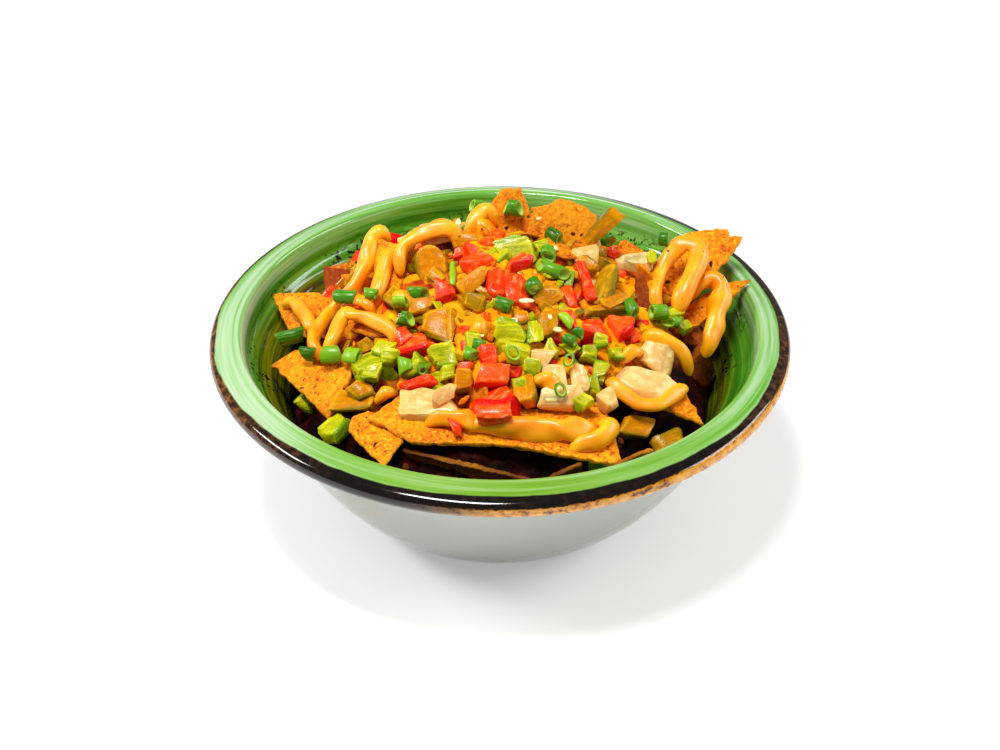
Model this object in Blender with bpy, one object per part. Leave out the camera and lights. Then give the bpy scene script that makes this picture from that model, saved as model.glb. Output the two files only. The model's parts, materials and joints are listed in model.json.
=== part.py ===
"""Loaded nachos in a glazed stoneware bowl.

The bowl stands on its foot ring at the origin, +Z up, and its front faces -Y.  Lengths are in
millimetres and become metres at the end (MM).  The heights of the food are measured from the rim's
widest circle, because the heap is judged against the rim.

Pieces are made in the order in which they lie: bowl, heap, chips, sauce, then the diced toppings.
Each one is cut by the pieces that were there before it, so that it rests on them with a thin gap.
"""
import math

import bmesh
import bpy
import numpy as np
from mathutils.bvhtree import BVHTree

MM = 0.001
GAP = 0.35               # air between two pieces that touch
WELDS = (0.00001, 0.00003, 0.0001)   # metres: points closer than this are one point; the finest
                                     # that leaves a sound mesh is used
FLAT_ANGLE = math.radians(1.0)

# Driving dimensions of the bowl
RIM_RADIUS = 100.0       # widest circle of the rolled rim
RIM_HEIGHT = 64.0        # height of that circle above the table
FOOT_RADIUS = 44.5       # outside of the foot ring
FOOT_WIDTH = 5.0         # flat ring that stands on the table
FOOT_RECESS = 2.2        # hollow inside the foot ring
BODY_RADIUS = 85.1       # the outer wall's curve would end here
BODY_TOP = 60.0          # at this height
INNER_FOOT = 40.0        # flat floor inside
INNER_RADIUS = 80.4
FLOOR_HEIGHT = 7.0
WALL_POWER = 1.41        # 1 is an ellipse, 2 a straight cone
BREAK_RADIUS = 86.5      # ring where the lip turns down into the wall
BREAK_HEIGHT = 60.4
INNER_BEND = (83.0, 56.0)                            # the inner wall just below that ring
FLARE = ((85.6, 53.6), (90.0, 56.8), (95.0, 58.8))   # the outer wall turning out under the rim
EDGE_ROUND = 3.2         # roundness of the rim's outer edge
EDGE_DROP = 1.1          # its centre is this far under the widest circle
CREST_RADIUS = 90.2      # top of the rolled rim
CREST_ROUND = 2.5
CREST_RISE = 2.0         # its centre is this far over the widest circle
FOOT_BEVEL = 1.5         # slope between the recess and the flat ring
FOOT_CURVE = 1.0         # the outer wall's curve starts this high
SEGMENTS = 48

# Driving dimensions of the heap, seen as a mound with its top a little behind the middle
HEAP_TOP = 29.0          # outline of the toppings above the rim's widest circle
HEAP_CENTRE = (2.0, 14.0)
HEAP_SLOPE = 0.61        # rise over run, far from the top
HEAP_ROUND = 16.0        # how flat the top is
HEAP_WIDTH = 0.93        # under 1 is wider across than from front to back
HEAP_BACK = 1.25         # over 1 is steeper at the back
COVER = 4.0              # depth of the loose toppings over the solid heap
SHOULDER_RADIUS = 60.0   # outside this circle the heap falls off to the wall
SHOULDER_FALL = 0.07
BUMP_HEIGHT = 1.1        # small regular unevenness of the mound
BUMP_ACROSS = 5.3
BUMP_DEEP = 4.7
TOP_RINGS = (0.13, 0.27, 0.41, 0.55, 0.69, 0.83, 1.0)    # shares of the radius, middle to edge
UNDER_RINGS = (0.8, 0.45)                                # and back to the middle underneath
BED = 2.0 * GAP          # air between the heap and the bowl

# Hollows and swells of the heap: x, y, height, spread
LUMPS = (
    (48.0, -46.0, -11.0, 10.0),
    (-54.0, -46.0, 7.0, 9.0),
    (8.0, -60.0, -5.0, 14.0),
    (70.0, -8.0, -6.0, 12.0),
    (-12.0, 22.0, 2.5, 12.0),
    (58.0, 6.0, 3.5, 9.0),
)

CHIP_THICKNESS = 1.8
CHIP_RAGGED = 0.45       # how far an edge wanders in and out
CHIP_STEP = 9.0          # spacing of the points along an edge

ROPE_SIDES = 7
ROPE_STEP = 4.5          # spacing of the sections along a rope
ROPE_TAPER = 0.72        # size of the first and last section
ROPE_TIP = 0.6           # how far a tip reaches past them, in radii
ROPE_UNEVEN = 0.1

BLOCK_CHAMFER = 0.22     # share of a block's smaller side
BLOCK_END = 0.82         # size of its end faces
BLOCK_UNEVEN = 0.07

# Tortilla chips: corners (x, y, height) round the outline, and the rise of the middle
CHIPS = {
    "chip_back_tip": (((0, 38, 36), (7.5, 38, 36), (17, 25, 16), (-11, 25, 16)), 1.0),
    "chip_back_middle": (((8.5, 34, 29.5), (22, 36, 33), (27, 34, 32), (21, 21, 15), (9, 21, 15)), 1.0),
    "chip_back_right": (((25.5, 30, 35.5), (33.5, 28, 31.5), (34, 16, 17), (22, 18, 16), (17.5, 27, 31)),
                        1.2),
    "chip_rim": (((66, 43, 14), (80.5, 38, 20), (81, 36.5, 16.5), (86, 36, 17.5), (76, 26, 7.5),
                  (58, 8, 0), (49, 24, 3)), 1.5),
    "chip_rim_small": (((88.5, 24.5, 6.6), (77.5, 21, 7.5), (58, 6, 1), (60, -3, -2), (78, 11, 4.5)), 0.6),
    "chip_right_under": (((63, 17, 3), (72, 15, 0), (70.5, 0, -6), (58, -3, -1)), 1.0),
    "chip_right_wall": (((69, 0, -3), (75, 3, -17), (69, -8, -23), (60, -16, -13)), 1.2),
    "chip_right_front": (((68, -45, -7), (61.5, -28, -3), (40, -32, -2)), 1.0),
    "chip_upright": (((46, 8, 18.5), (49.5, 10, 19), (55, -3, 3), (48, -6, 3)), 0.5),
    "chip_left_back": (((-63, 38, 3.5), (-48.5, 34, 5), (-47, 19, -4), (-61, 21, -4)), 1.0),
    "chip_left": (((-80.5, 26, -1), (-63.5, 22, 3.5), (-50, 12, 1), (-57, -5, 1), (-72.5, 4, -3.5)), 1.6),
    "chip_left_middle": (((-42, 24, 24), (-34, 22, 22.5), (-31, -3, 9), (-45, 4, 6)), 1.4),
    "chip_left_front": (((-78.5, -9.5, -7), (-71, -5, -3), (-50, -12, 2), (-31, -28, 1), (-57.5, -39, -8)),
                        2.0),
    "chip_left_small": (((-51, -9, 8), (-43, -17, 9.5), (-34.5, -19, 12.5), (-30, -6, 11), (-46, 0, 6)), 0.5),
    "chip_front_left": (((-49.5, -45, -3), (-50, -49, -7), (-37.5, -64.5, -10), (-31.5, -56, -5),
                         (-38, -38, -4)), 0.8),
    "chip_front": (((-44, -47.5, -1), (-29, -58.5, -4), (0, -60, -4.5), (20, -64, -5.5), (37, -66.5, -7),
                    (40, -65, -6), (34, -38, -2), (0, -33, 2), (-33, -38, 0)), 1.5),
    "chip_low_left": (((-32.5, -56, -8), (-13, -64.5, -8), (10.5, -71, -9), (-6.5, -64, -25),
                       (-24, -54, -24)), 1.0),
    "chip_low_middle": (((13, -71.5, -10), (27, -65, -7), (28, -60, -18), (19, -60, -26)), 0.6),
    "chip_behind_left": (((-46, 46, 4), (-20, 68, -4), (-10, 40, 12), (-28, 32, 10)), 1.5),
    "chip_behind_middle": (((-8, 54, 9), (12, 72, -3), (28, 50, 6), (10, 38, 11)), 1.2),
    "chip_behind_right": (((32, 62, -4), (60, 47, -4), (48, 28, 3), (28, 38, 8)), 1.5),
    "chip_behind_low": (((-58, 50, -6), (-38, 68, -6), (-30, 56, -6), (-44, 40, -2)), 1.0),
    "chip_low_right": (((33.5, -69.5, -9), (40, -66, -6), (50, -59.5, -5), (44, -54, -26), (35, -58, -26)),
                       0.8),
}

# Ropes of cheese sauce: points along the middle, and the rope's radius at both ends and in between
ROPES = {
    "sauce_left_long": (((-38, 26, 25), (-41.5, 26, 26.5), (-44.5, 24, 23), (-46.5, 17, 18.5), (-51, 9, 13),
                         (-58, 3, 7.5), (-63, -6, 5.5), (-63, -14, 4.5), (-59, -17.5, 5)), 3.6),
    "sauce_left_short": (((-37.5, 21, 24), (-39, 15, 21.5), (-40.5, 8, 18), (-43, -1, 15)), 4.2),
    "sauce_left_cross": (((-56, -14, 8), (-53, -5, 12), (-49, -8, 13), (-43, -13, 14.5), (-36.5, -20, 15),
                          (-35.5, -22.5, 12)), 3.0),
    "sauce_left_chip": (((-76, 18, 3), (-71, 13.5, 4), (-67, 5, 4.5), (-64, -3, 4)), 3.0),
    "sauce_back_left": (((-34, 8, 22), (-34, 15, 25), (-29, 18.5, 28), (-22.5, 20, 30), (-16.5, 20.5, 30),
                         (-13.5, 18, 28)), 3.2),
    "sauce_back": (((-11, 24, 25), (-8, 29.5, 29), (-4.5, 32, 31), (0, 29.5, 29)), 3.6),
    "sauce_right_loop": (((52.2, 1, 11), (54.5, 15, 14), (59.5, 22.5, 19), (64.5, 25, 21.5),
                          (69, 22, 20.5), (67.5, 15, 17), (63.5, 8, 13), (60.3, 2, 11)), 3.4),
    "sauce_right_hook": (((63.5, 12, 9.5), (68, 16, 11), (74, 17, 11.5), (77, 13, 9.5), (75, 6, 7),
                          (73.5, -2, 4), (70, -9, 0.5)), 3.7),
    "sauce_right_band": (((47.5, -14, 12), (54, -18, 10), (61, -20, 6.5), (64.5, -21, 1)), 3.8),
    "sauce_right_low": (((36.5, -34, 5), (38.5, -40, 3.5), (45, -43.5, 0), (51.5, -43.5, -1),
                         (57, -38, -0.5), (62.5, -30, 0)), 3.8),
    "sauce_behind": (((-34, 44, 11), (-22, 52, 9), (-8, 49, 12), (4, 57, 9), (15, 50, 11), (27, 44, 12),
                      (36, 34, 12)), 3.6),
    "sauce_front": (((-13, -51, 1.5), (-3, -54, 0.5), (6.5, -55.5, 0), (17, -56, -0.5), (26, -55, -0.5),
                     (33, -54, -2)), 4.6),
}

# Diced toppings: the two ends of each piece, its width, its thickness and its turn about its length
CHICKEN = (
    ((40.5, 20, 14.5), (54.5, 20, 15), 9, 7, -50),
    ((41, -29, 5.5), (57, -34.5, -1.5), 11, 6, -10),
    ((49, -17, 7), (58.5, -20.5, 2), 8, 6, -10),
    ((-33, -42, 1.5), (-14, -48, 2.5), 12, 5, -10),
    ((17, -33, 8.5), (18, -46.5, 2.5), 8, 5, 0),
    ((24.5, 16, 20.5), (34, 16, 20.5), 9, 8, -40),
)
PICKLE = (
    ((-30, 10, 21.5), (-17.5, 10, 22), 13, 5, -52),
    ((-16.5, 19, 24.5), (-5.5, 19, 25.5), 9, 6, -45),
    ((-26, -15, 14), (-14.5, -18, 15), 12, 4.5, -32),
    ((-56, -36, -4), (-41, -38, -1), 10, 4, -15),
    ((41, 23.5, 35), (28, 21, 21), 6.5, 3, -40),
    ((38, 10, 23), (35, -7, 16), 9, 5, -20),
    ((9, -36.5, 7.5), (8.5, -47.5, 3), 9, 6.5, 0),
    ((51.5, -50, -13), (63, -45, -13), 9, 5, -25),
)
TOMATO = (
    ((-12, 3, 24), (-3, 9.5, 26), 6, 5, 0),
    ((-1, 5, 24.5), (-1, -9, 20.5), 7, 7, 0),
    ((5.5, 0, 22.5), (5.5, -12, 19.5), 9, 8, 0),
    ((-38, -22, 6), (-23.5, -23, 10), 10, 9, 0),
    ((-9, -47, 0.5), (5.5, -44, 1.5), 12, 10, 10),
    ((25.5, -19, 11), (38, -15.5, 10), 11, 9, 0),
)
PEPPER = (
    ((-49, -27.5, 0.5), (-36, -26, 5), 12, 8, 0),
    ((-58, -48.5, -9), (-50, -41, -9), 9, 8, 0),
    ((-2, -26, 12), (10, -27, 11), 9, 7, 0),
)

COLOURS = {
    # kind: red, green, blue (linear), roughness
    "glaze": (0.13, 0.36, 0.07, 0.15),
    "heap": (0.40, 0.16, 0.02, 0.50),
    "chip": (0.62, 0.20, 0.02, 0.70),
    "sauce": (0.84, 0.38, 0.03, 0.30),
    "chicken": (0.72, 0.52, 0.26, 0.50),
    "pickle": (0.44, 0.22, 0.01, 0.25),
    "tomato": (0.72, 0.04, 0.01, 0.25),
    "pepper": (0.36, 0.46, 0.02, 0.30),
}


def clear_scene():
    for thing in list(bpy.data.objects):
        bpy.data.objects.remove(thing, do_unlink=True)


def make_material(kind):
    red, green, blue, roughness = COLOURS[kind]
    material = bpy.data.materials.new(kind)
    material.use_nodes = True
    shader = material.node_tree.nodes["Principled BSDF"]
    shader.inputs["Base Color"].default_value = (red, green, blue, 1.0)
    shader.inputs["Roughness"].default_value = roughness
    return material


def add_mesh(name, points, faces, material=None):
    """One object from points in millimetres, with its faces turned outwards."""
    mesh = bpy.data.meshes.new(name)
    mesh.from_pydata([tuple(float(v) * MM for v in point) for point in points], [], faces)
    work = bmesh.new()
    work.from_mesh(mesh)
    bmesh.ops.recalc_face_normals(work, faces=work.faces)
    bmesh.ops.triangulate(work, faces=work.faces)
    work.to_mesh(mesh)
    work.free()
    thing = bpy.data.objects.new(name, mesh)
    bpy.context.scene.collection.objects.link(thing)
    if material:
        mesh.materials.append(material)
    return thing


# ---------------------------------------------------------------- the bowl

def arc(centre_r, centre_z, radius, first, last, count):
    """Points on an arc of the profile, angles in degrees from straight outwards."""
    angles = np.radians(np.linspace(first, last, count))
    return [(centre_r + radius * math.cos(a), centre_z + radius * math.sin(a)) for a in angles]


def wall_curve(foot, top_radius, base, top, last, count):
    """A superellipse from the foot (turn 0) up to the turn `last`, in degrees."""
    turns = np.radians(np.linspace(0.0, last, count))
    return [(foot + (top_radius - foot) * math.sin(t) ** WALL_POWER,
             base + (top - base) * (1.0 - math.cos(t) ** WALL_POWER)) for t in turns]


def inner_profile():
    """Inside of the bowl from the floor's middle up to the break under the lip."""
    wall = wall_curve(INNER_FOOT, INNER_RADIUS, FLOOR_HEIGHT, BODY_TOP, 74.0, 6)
    return [(0.0, FLOOR_HEIGHT)] + wall + [INNER_BEND, (BREAK_RADIUS, BREAK_HEIGHT)]


def bowl_profile():
    """Whole section, from the middle of the recess outside round to the middle of the floor."""
    recess = FOOT_RADIUS - FOOT_WIDTH
    foot = [(0.0, FOOT_RECESS), (recess - FOOT_BEVEL, FOOT_RECESS), (recess, 0.0), (FOOT_RADIUS, 0.0)]
    wall = wall_curve(FOOT_RADIUS, BODY_RADIUS, FOOT_CURVE, BODY_TOP, 73.0, 6)
    edge = arc(RIM_RADIUS - EDGE_ROUND, RIM_HEIGHT - EDGE_DROP, EDGE_ROUND, -58.0, 70.0, 5)
    crest = arc(CREST_RADIUS, RIM_HEIGHT + CREST_RISE, CREST_ROUND, 65.0, 180.0, 4)
    return foot + wall + list(FLARE) + edge + crest + inner_profile()[::-1]


def turn_profile(profile, segments):
    """Spin a profile that starts and ends on the axis into a closed solid."""
    points = []
    rings = []
    for radius, height in profile:
        if radius < 1e-6:
            rings.append([len(points)])
            points.append((0.0, 0.0, height))
            continue
        rings.append([len(points) + i for i in range(segments)])
        for i in range(segments):
            angle = 2.0 * math.pi * i / segments
            points.append((radius * math.cos(angle), radius * math.sin(angle), height))
    return points, join_rings(rings, segments)


def join_rings(rings, segments):
    """Faces between rings of points; a ring of one point is a pole."""
    faces = []
    for low, high in zip(rings, rings[1:]):
        for i in range(segments):
            j = (i + 1) % segments
            if len(low) == 1:
                faces.append((low[0], high[j], high[i]))
            elif len(high) == 1:
                faces.append((low[i], low[j], high[0]))
            else:
                faces.append((low[i], low[j], high[j], high[i]))
    return faces


def make_bowl(material):
    points, faces = turn_profile(bowl_profile(), SEGMENTS)
    return add_mesh("bowl", points, faces, material)


def bowl_cutter():
    """The bowl grown by the gap, for trimming chips that lean on the wall."""
    profile = []
    whole = bowl_profile()
    for before, here, after in zip([whole[0]] + whole[:-1], whole, whole[1:] + [whole[-1]]):
        along = (after[0] - before[0], after[1] - before[1])
        length = math.hypot(*along)
        radius = here[0] + GAP * along[1] / length
        height = here[1] - GAP * along[0] / length
        profile.append((radius if here[0] > 0.0 else 0.0, height))
    points, faces = turn_profile(profile, SEGMENTS)
    return add_mesh("cutter_bowl", points, faces)


# ---------------------------------------------------------------- the heap

def heap_height(x, y):
    """Outline of the solid heap over the rim's widest circle."""
    across = (x - HEAP_CENTRE[0]) * HEAP_WIDTH
    deep = y - HEAP_CENTRE[1]
    if deep > 0.0:
        deep *= HEAP_BACK
    away = math.hypot(across, deep)
    height = HEAP_TOP - COVER + HEAP_ROUND - math.hypot(HEAP_SLOPE * away, HEAP_ROUND)
    beyond = max(0.0, math.hypot(x, y) - SHOULDER_RADIUS)
    height -= SHOULDER_FALL * beyond * beyond
    for lump_x, lump_y, lump_height, spread in LUMPS:
        distance = math.hypot(x - lump_x, y - lump_y) / spread
        height += lump_height * math.exp(-distance * distance)
    return height + BUMP_HEIGHT * math.sin(x / BUMP_ACROSS + 1.0) * math.sin(y / BUMP_DEEP)


def wall_height(radius):
    """Height of the bowl's inside at a radius, over the rim's widest circle."""
    radii, heights = zip(*inner_profile())
    return float(np.interp(radius, radii, heights)) - RIM_HEIGHT


def heap_edge(angle):
    """Radius at which the heap meets the wall, by halving."""
    inside, outside = INNER_FOOT, BREAK_RADIUS
    for _ in range(30):
        middle = 0.5 * (inside + outside)
        height = heap_height(middle * math.cos(angle), middle * math.sin(angle))
        if height > wall_height(middle) + BED:
            inside = middle
        else:
            outside = middle
    return inside


def make_heap(material, grow=0.0):
    """The mound: its top follows heap_height, its underside lies in the bowl."""
    angles = [2.0 * math.pi * i / SEGMENTS for i in range(SEGMENTS)]
    edges = [heap_edge(angle) for angle in angles]
    points = [(0.0, 0.0, RIM_HEIGHT + heap_height(0.0, 0.0) + grow)]
    rings = [[0]]
    for share in TOP_RINGS:
        rings.append([len(points) + i for i in range(SEGMENTS)])
        for angle, edge in zip(angles, edges):
            x = share * edge * math.cos(angle)
            y = share * edge * math.sin(angle)
            height = heap_height(x, y) + grow
            if share == 1.0:
                height = wall_height(edge) + BED + grow
            points.append((x, y, RIM_HEIGHT + height))
    for share in UNDER_RINGS:
        rings.append([len(points) + i for i in range(SEGMENTS)])
        for angle, edge in zip(angles, edges):
            radius = share * edge
            points.append((radius * math.cos(angle), radius * math.sin(angle),
                           RIM_HEIGHT + wall_height(radius) + BED))
    rings.append([len(points)])
    points.append((0.0, 0.0, FLOOR_HEIGHT + BED))
    name = "cutter_heap" if grow else "heap"
    return add_mesh(name, points, join_rings(rings, SEGMENTS), material)


# ---------------------------------------------------------------- chips, ropes and dice

def ragged(index):
    """A fixed uneven number between -1 and 1 for each index."""
    return math.sin(index * 12.9898 + 4.1) * math.cos(index * 7.233)


def outline_points(corners):
    """The outline with long edges divided, its new points wandering a little."""
    points = []
    for number, corner in enumerate(corners):
        after = corners[(number + 1) % len(corners)]
        count = max(1, round(np.linalg.norm(after - corner) / CHIP_STEP))
        for part in range(count):
            point = corner + (after - corner) * part / count
            if part:
                side = point - corners.mean(axis=0)
                wander = CHIP_RAGGED * ragged(number * 5 + part)
                point = point + side / np.linalg.norm(side) * wander
            points.append(point)
    return np.array(points)


def make_chip(name, corners, bow, material=None, grow=0.0):
    """A bowed slab: two sheets of rings from the outline to its middle, joined at the edge."""
    corners = np.array(corners, float) + (0.0, 0.0, RIM_HEIGHT)
    outline = outline_points(corners)
    middle = outline.mean(axis=0)
    spokes = outline - middle
    normal = np.cross(spokes, np.roll(spokes, -1, axis=0)).sum(axis=0)
    normal /= np.linalg.norm(normal)
    if normal[2] < 0.0:
        normal = -normal
    outline = outline + grow * spokes / np.linalg.norm(spokes, axis=1)[:, None]
    count = len(outline)
    points = []
    rings = []
    half = 0.5 * CHIP_THICKNESS + grow
    for side, shares in ((half, (0.0, 0.5, 1.0)), (-half, (1.0, 0.5, 0.0))):
        for share in shares:
            sheet = middle + share * (outline - middle) + normal * (bow * (1.0 - share * share) + side)
            if share == 0.0:
                sheet = sheet[:1]
            rings.append(list(range(len(points), len(points) + len(sheet))))
            points.extend(sheet)
    return add_mesh(name, points, join_rings(rings, count), material)


def smooth_route(route):
    """Points every few millimetres on a Catmull-Rom curve through the route."""
    route = np.array(route, float) + (0.0, 0.0, RIM_HEIGHT)
    ends = np.vstack([2 * route[0] - route[1], route, 2 * route[-1] - route[-2]])
    points = []
    for a, b, c, d in zip(ends, ends[1:], ends[2:], ends[3:]):
        count = max(1, round(np.linalg.norm(c - b) / ROPE_STEP))
        for part in range(count):
            t = part / count
            points.append(0.5 * (2 * b + (c - a) * t + (2 * a - 5 * b + 4 * c - d) * t ** 2
                                 + (3 * b - a - 3 * c + d) * t ** 3))
    return np.array(points + [route[-1]])


def make_rope(name, route, radius, material=None, grow=0.0):
    """A tube along the route, with rounded ends."""
    path = smooth_route(route)
    tangents = np.gradient(path, axis=0)
    tangents /= np.linalg.norm(tangents, axis=1)[:, None]
    side = np.cross(tangents[0], (0.0, 0.0, 1.0))
    points = []
    rings = []
    last = len(path) - 1
    for number, (centre, along) in enumerate(zip(path, tangents)):
        side = side - along * np.dot(side, along)
        side /= np.linalg.norm(side)
        other = np.cross(along, side)
        share = ROPE_TAPER if number in (0, last) else 1.0 + ROPE_UNEVEN * ragged(number)
        size = radius * share + grow
        rings.append([len(points) + i for i in range(ROPE_SIDES)])
        for i in range(ROPE_SIDES):
            turn = 2.0 * math.pi * i / ROPE_SIDES
            points.append(centre + size * (side * math.cos(turn) + other * math.sin(turn)))
    first_tip = path[0] - tangents[0] * (ROPE_TIP * radius + grow)
    last_tip = path[-1] + tangents[-1] * (ROPE_TIP * radius + grow)
    rings = [[len(points)]] + rings + [[len(points) + 1]]
    points.extend([first_tip, last_tip])
    return add_mesh(name, points, join_rings(rings, ROPE_SIDES), material)


def make_block(name, start, end, width, thickness, turn, seed, material=None, grow=0.0):
    """An uneven cut block between two ends, with its long edges chamfered."""
    start = np.array(start, float) + (0.0, 0.0, RIM_HEIGHT)
    end = np.array(end, float) + (0.0, 0.0, RIM_HEIGHT)
    along = (end - start) / np.linalg.norm(end - start)
    side = np.cross(along, (0.0, 0.0, 1.0))
    side /= np.linalg.norm(side)
    above = np.cross(side, along)
    angle = math.radians(turn)
    side, above = (side * math.cos(angle) + above * math.sin(angle),
                   above * math.cos(angle) - side * math.sin(angle))
    chamfer = BLOCK_CHAMFER * min(width, thickness)
    points = []
    rings = []
    shares = ((start - along * grow, BLOCK_END, 0), (start + along * chamfer, 1.0, 1),
              (end - along * chamfer, 1.0, 2), (end + along * grow, BLOCK_END, 3))
    for centre, share, row in shares:
        rings.append([len(points) + i for i in range(8)])
        half_width = 0.5 * width * share + grow
        half_height = 0.5 * thickness * share + grow
        cut = chamfer * share
        corner = ((half_width, half_height - cut), (half_width - cut, half_height),
                  (cut - half_width, half_height), (-half_width, half_height - cut),
                  (-half_width, cut - half_height), (cut - half_width, -half_height),
                  (half_width - cut, -half_height), (half_width, cut - half_height))
        for i, (u, v) in enumerate(corner):
            uneven = 1.0 + BLOCK_UNEVEN * ragged(seed * 11 + (i // 2) * 3 + row // 2)
            points.append(centre + uneven * (u * side + v * above))
    faces = join_rings(rings, 8) + [tuple(rings[0]), tuple(rings[-1])]
    return add_mesh(name, points, faces, material)


# ---------------------------------------------------------------- fitting the pieces together

def box_of(thing):
    points = np.array([vertex.co for vertex in thing.data.vertices])
    return points.min(axis=0), points.max(axis=0)


def boxes_meet(first, second):
    return bool(np.all(first[0] <= second[1]) and np.all(second[0] <= first[1]))


def is_closed(work):
    return all(len(edge.link_faces) == 2 for edge in work.edges)


def crosses_itself(work):
    """Whether any two triangles that share no corner pass through each other."""
    work.faces.ensure_lookup_table()
    corners = [{vertex.co.copy().freeze() for vertex in face.verts} for face in work.faces]
    tree = BVHTree.FromBMesh(work, epsilon=0.0)
    return any(first < second and not corners[first] & corners[second]
               for first, second in tree.overlap(tree))


def is_sound(work):
    return is_closed(work) and not crosses_itself(work)


def merge_flat_faces(work):
    """Join neighbours that lie in one plane, unless that would open the mesh or fold it."""
    trial = work.copy()
    bmesh.ops.dissolve_limit(trial, angle_limit=FLAT_ANGLE, verts=trial.verts, edges=trial.edges)
    bmesh.ops.triangulate(trial, faces=trial.faces)
    if is_sound(trial):
        work.free()
        return trial
    trial.free()
    bmesh.ops.triangulate(work, faces=work.faces)
    return work


def welded(mesh):
    """The cut mesh with its slivers welded, as finely as leaves it closed and unfolded."""
    for distance in WELDS:
        work = bmesh.new()
        work.from_mesh(mesh)
        bmesh.ops.remove_doubles(work, verts=work.verts, dist=distance)
        bmesh.ops.dissolve_degenerate(work, edges=work.edges, dist=distance)
        work = merge_flat_faces(work)
        if is_sound(work) or distance == WELDS[-1]:
            return work
        work.free()


def keep_largest(mesh):
    """Leave only the largest closed part of the cut mesh."""
    work = welded(mesh)
    left = set(work.faces)
    parts = []
    while left:
        part = set()
        edge_of_part = [left.pop()]
        while edge_of_part:
            face = edge_of_part.pop()
            part.add(face)
            for edge in face.edges:
                for other in edge.link_faces:
                    if other in left:
                        left.discard(other)
                        edge_of_part.append(other)
        parts.append(part)

    def volume(part):
        return sum(face.verts[0].co.dot(face.verts[1].co.cross(face.verts[2].co)) for face in part)

    parts.sort(key=volume)
    for part in parts[:-1]:
        bmesh.ops.delete(work, geom=list(part), context="FACES")
    loose = [vertex for vertex in work.verts if not vertex.link_faces]
    bmesh.ops.delete(work, geom=loose, context="VERTS")
    work.to_mesh(mesh)
    work.free()


def trim(piece, cutters):
    """Cut a piece by every earlier one that it meets."""
    near = [cutter for cutter in cutters if boxes_meet(box_of(piece), box_of(cutter))]
    for cutter in near:
        modifier = piece.modifiers.new("trim", "BOOLEAN")
        modifier.operation = "DIFFERENCE"
        modifier.solver = "EXACT"
        modifier.object = cutter
    if near:
        graph = bpy.context.evaluated_depsgraph_get()
        mesh = bpy.data.meshes.new_from_object(piece.evaluated_get(graph))
        piece.modifiers.clear()
        old = piece.data
        piece.data = mesh
        bpy.data.meshes.remove(old)
        keep_largest(mesh)


def build():
    clear_scene()
    materials = {kind: make_material(kind) for kind in COLOURS}
    make_bowl(materials["glaze"])
    make_heap(materials["heap"])
    cutters = [bowl_cutter(), make_heap(None, grow=GAP)]
    for name, (corners, bow) in CHIPS.items():
        piece = make_chip(name, corners, bow, materials["chip"])
        trim(piece, cutters)
        cutters.append(make_chip("cutter_" + name, corners, bow, grow=GAP))
    for name, (route, radius) in ROPES.items():
        piece = make_rope(name, route, radius, materials["sauce"])
        trim(piece, cutters)
        cutters.append(make_rope("cutter_" + name, route, radius, grow=GAP))
    seed = 0
    kinds = (("chicken", CHICKEN), ("tomato", TOMATO), ("pickle", PICKLE), ("pepper", PEPPER))
    for kind, blocks in kinds:
        for number, block in enumerate(blocks, 1):
            seed += 1
            name = f"{kind}_{number:02d}"
            piece = make_block(name, *block, seed, materials[kind])
            trim(piece, cutters)
            cutters.append(make_block("cutter_" + name, *block, seed, grow=GAP))
    for cutter in cutters:
        bpy.data.objects.remove(cutter, do_unlink=True)


build()
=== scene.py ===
"""Loaded nachos in a glazed stoneware bowl: the finished look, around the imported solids.

Lengths in the tables are millimetres.  Food heights are measured from the rim's widest circle.
"""

import json
import math

import bmesh
import bpy
import numpy as np
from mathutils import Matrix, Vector
from mathutils.bvhtree import BVHTree

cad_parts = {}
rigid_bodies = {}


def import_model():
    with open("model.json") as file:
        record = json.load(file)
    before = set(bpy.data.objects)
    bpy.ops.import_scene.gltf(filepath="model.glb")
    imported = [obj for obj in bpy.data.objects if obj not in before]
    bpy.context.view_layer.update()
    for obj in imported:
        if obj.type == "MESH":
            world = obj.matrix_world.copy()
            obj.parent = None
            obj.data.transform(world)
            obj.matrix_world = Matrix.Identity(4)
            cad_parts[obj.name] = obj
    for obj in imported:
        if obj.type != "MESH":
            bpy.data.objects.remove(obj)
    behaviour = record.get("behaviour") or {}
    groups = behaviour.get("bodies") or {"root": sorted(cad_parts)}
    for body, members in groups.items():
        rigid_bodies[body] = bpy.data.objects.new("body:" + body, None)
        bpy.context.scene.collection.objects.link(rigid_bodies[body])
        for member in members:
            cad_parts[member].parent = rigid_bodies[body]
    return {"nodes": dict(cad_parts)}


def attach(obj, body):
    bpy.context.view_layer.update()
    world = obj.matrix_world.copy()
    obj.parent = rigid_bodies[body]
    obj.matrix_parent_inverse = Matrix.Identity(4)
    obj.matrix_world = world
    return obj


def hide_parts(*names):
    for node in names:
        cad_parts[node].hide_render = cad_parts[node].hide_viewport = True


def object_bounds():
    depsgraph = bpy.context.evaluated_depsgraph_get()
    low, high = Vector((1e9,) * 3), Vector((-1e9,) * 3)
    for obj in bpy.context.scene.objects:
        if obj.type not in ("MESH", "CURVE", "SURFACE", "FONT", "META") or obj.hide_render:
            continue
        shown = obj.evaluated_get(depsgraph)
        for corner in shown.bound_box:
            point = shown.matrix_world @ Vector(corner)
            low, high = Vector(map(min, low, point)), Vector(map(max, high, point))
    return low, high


for thing in list(bpy.data.objects):
    bpy.data.objects.remove(thing, do_unlink=True)

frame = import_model()
cad_box = [list(corner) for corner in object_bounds()]
nodes = frame["nodes"]

MM = 0.001
CEILING = cad_box[1][2] / MM - 0.1       # nothing stands above the solids' own box


# ---------------------------------------------------------------- the camera
# A long lens that looks down at 34 degrees, so that the bowl's far wall and the mound both show.

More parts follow.
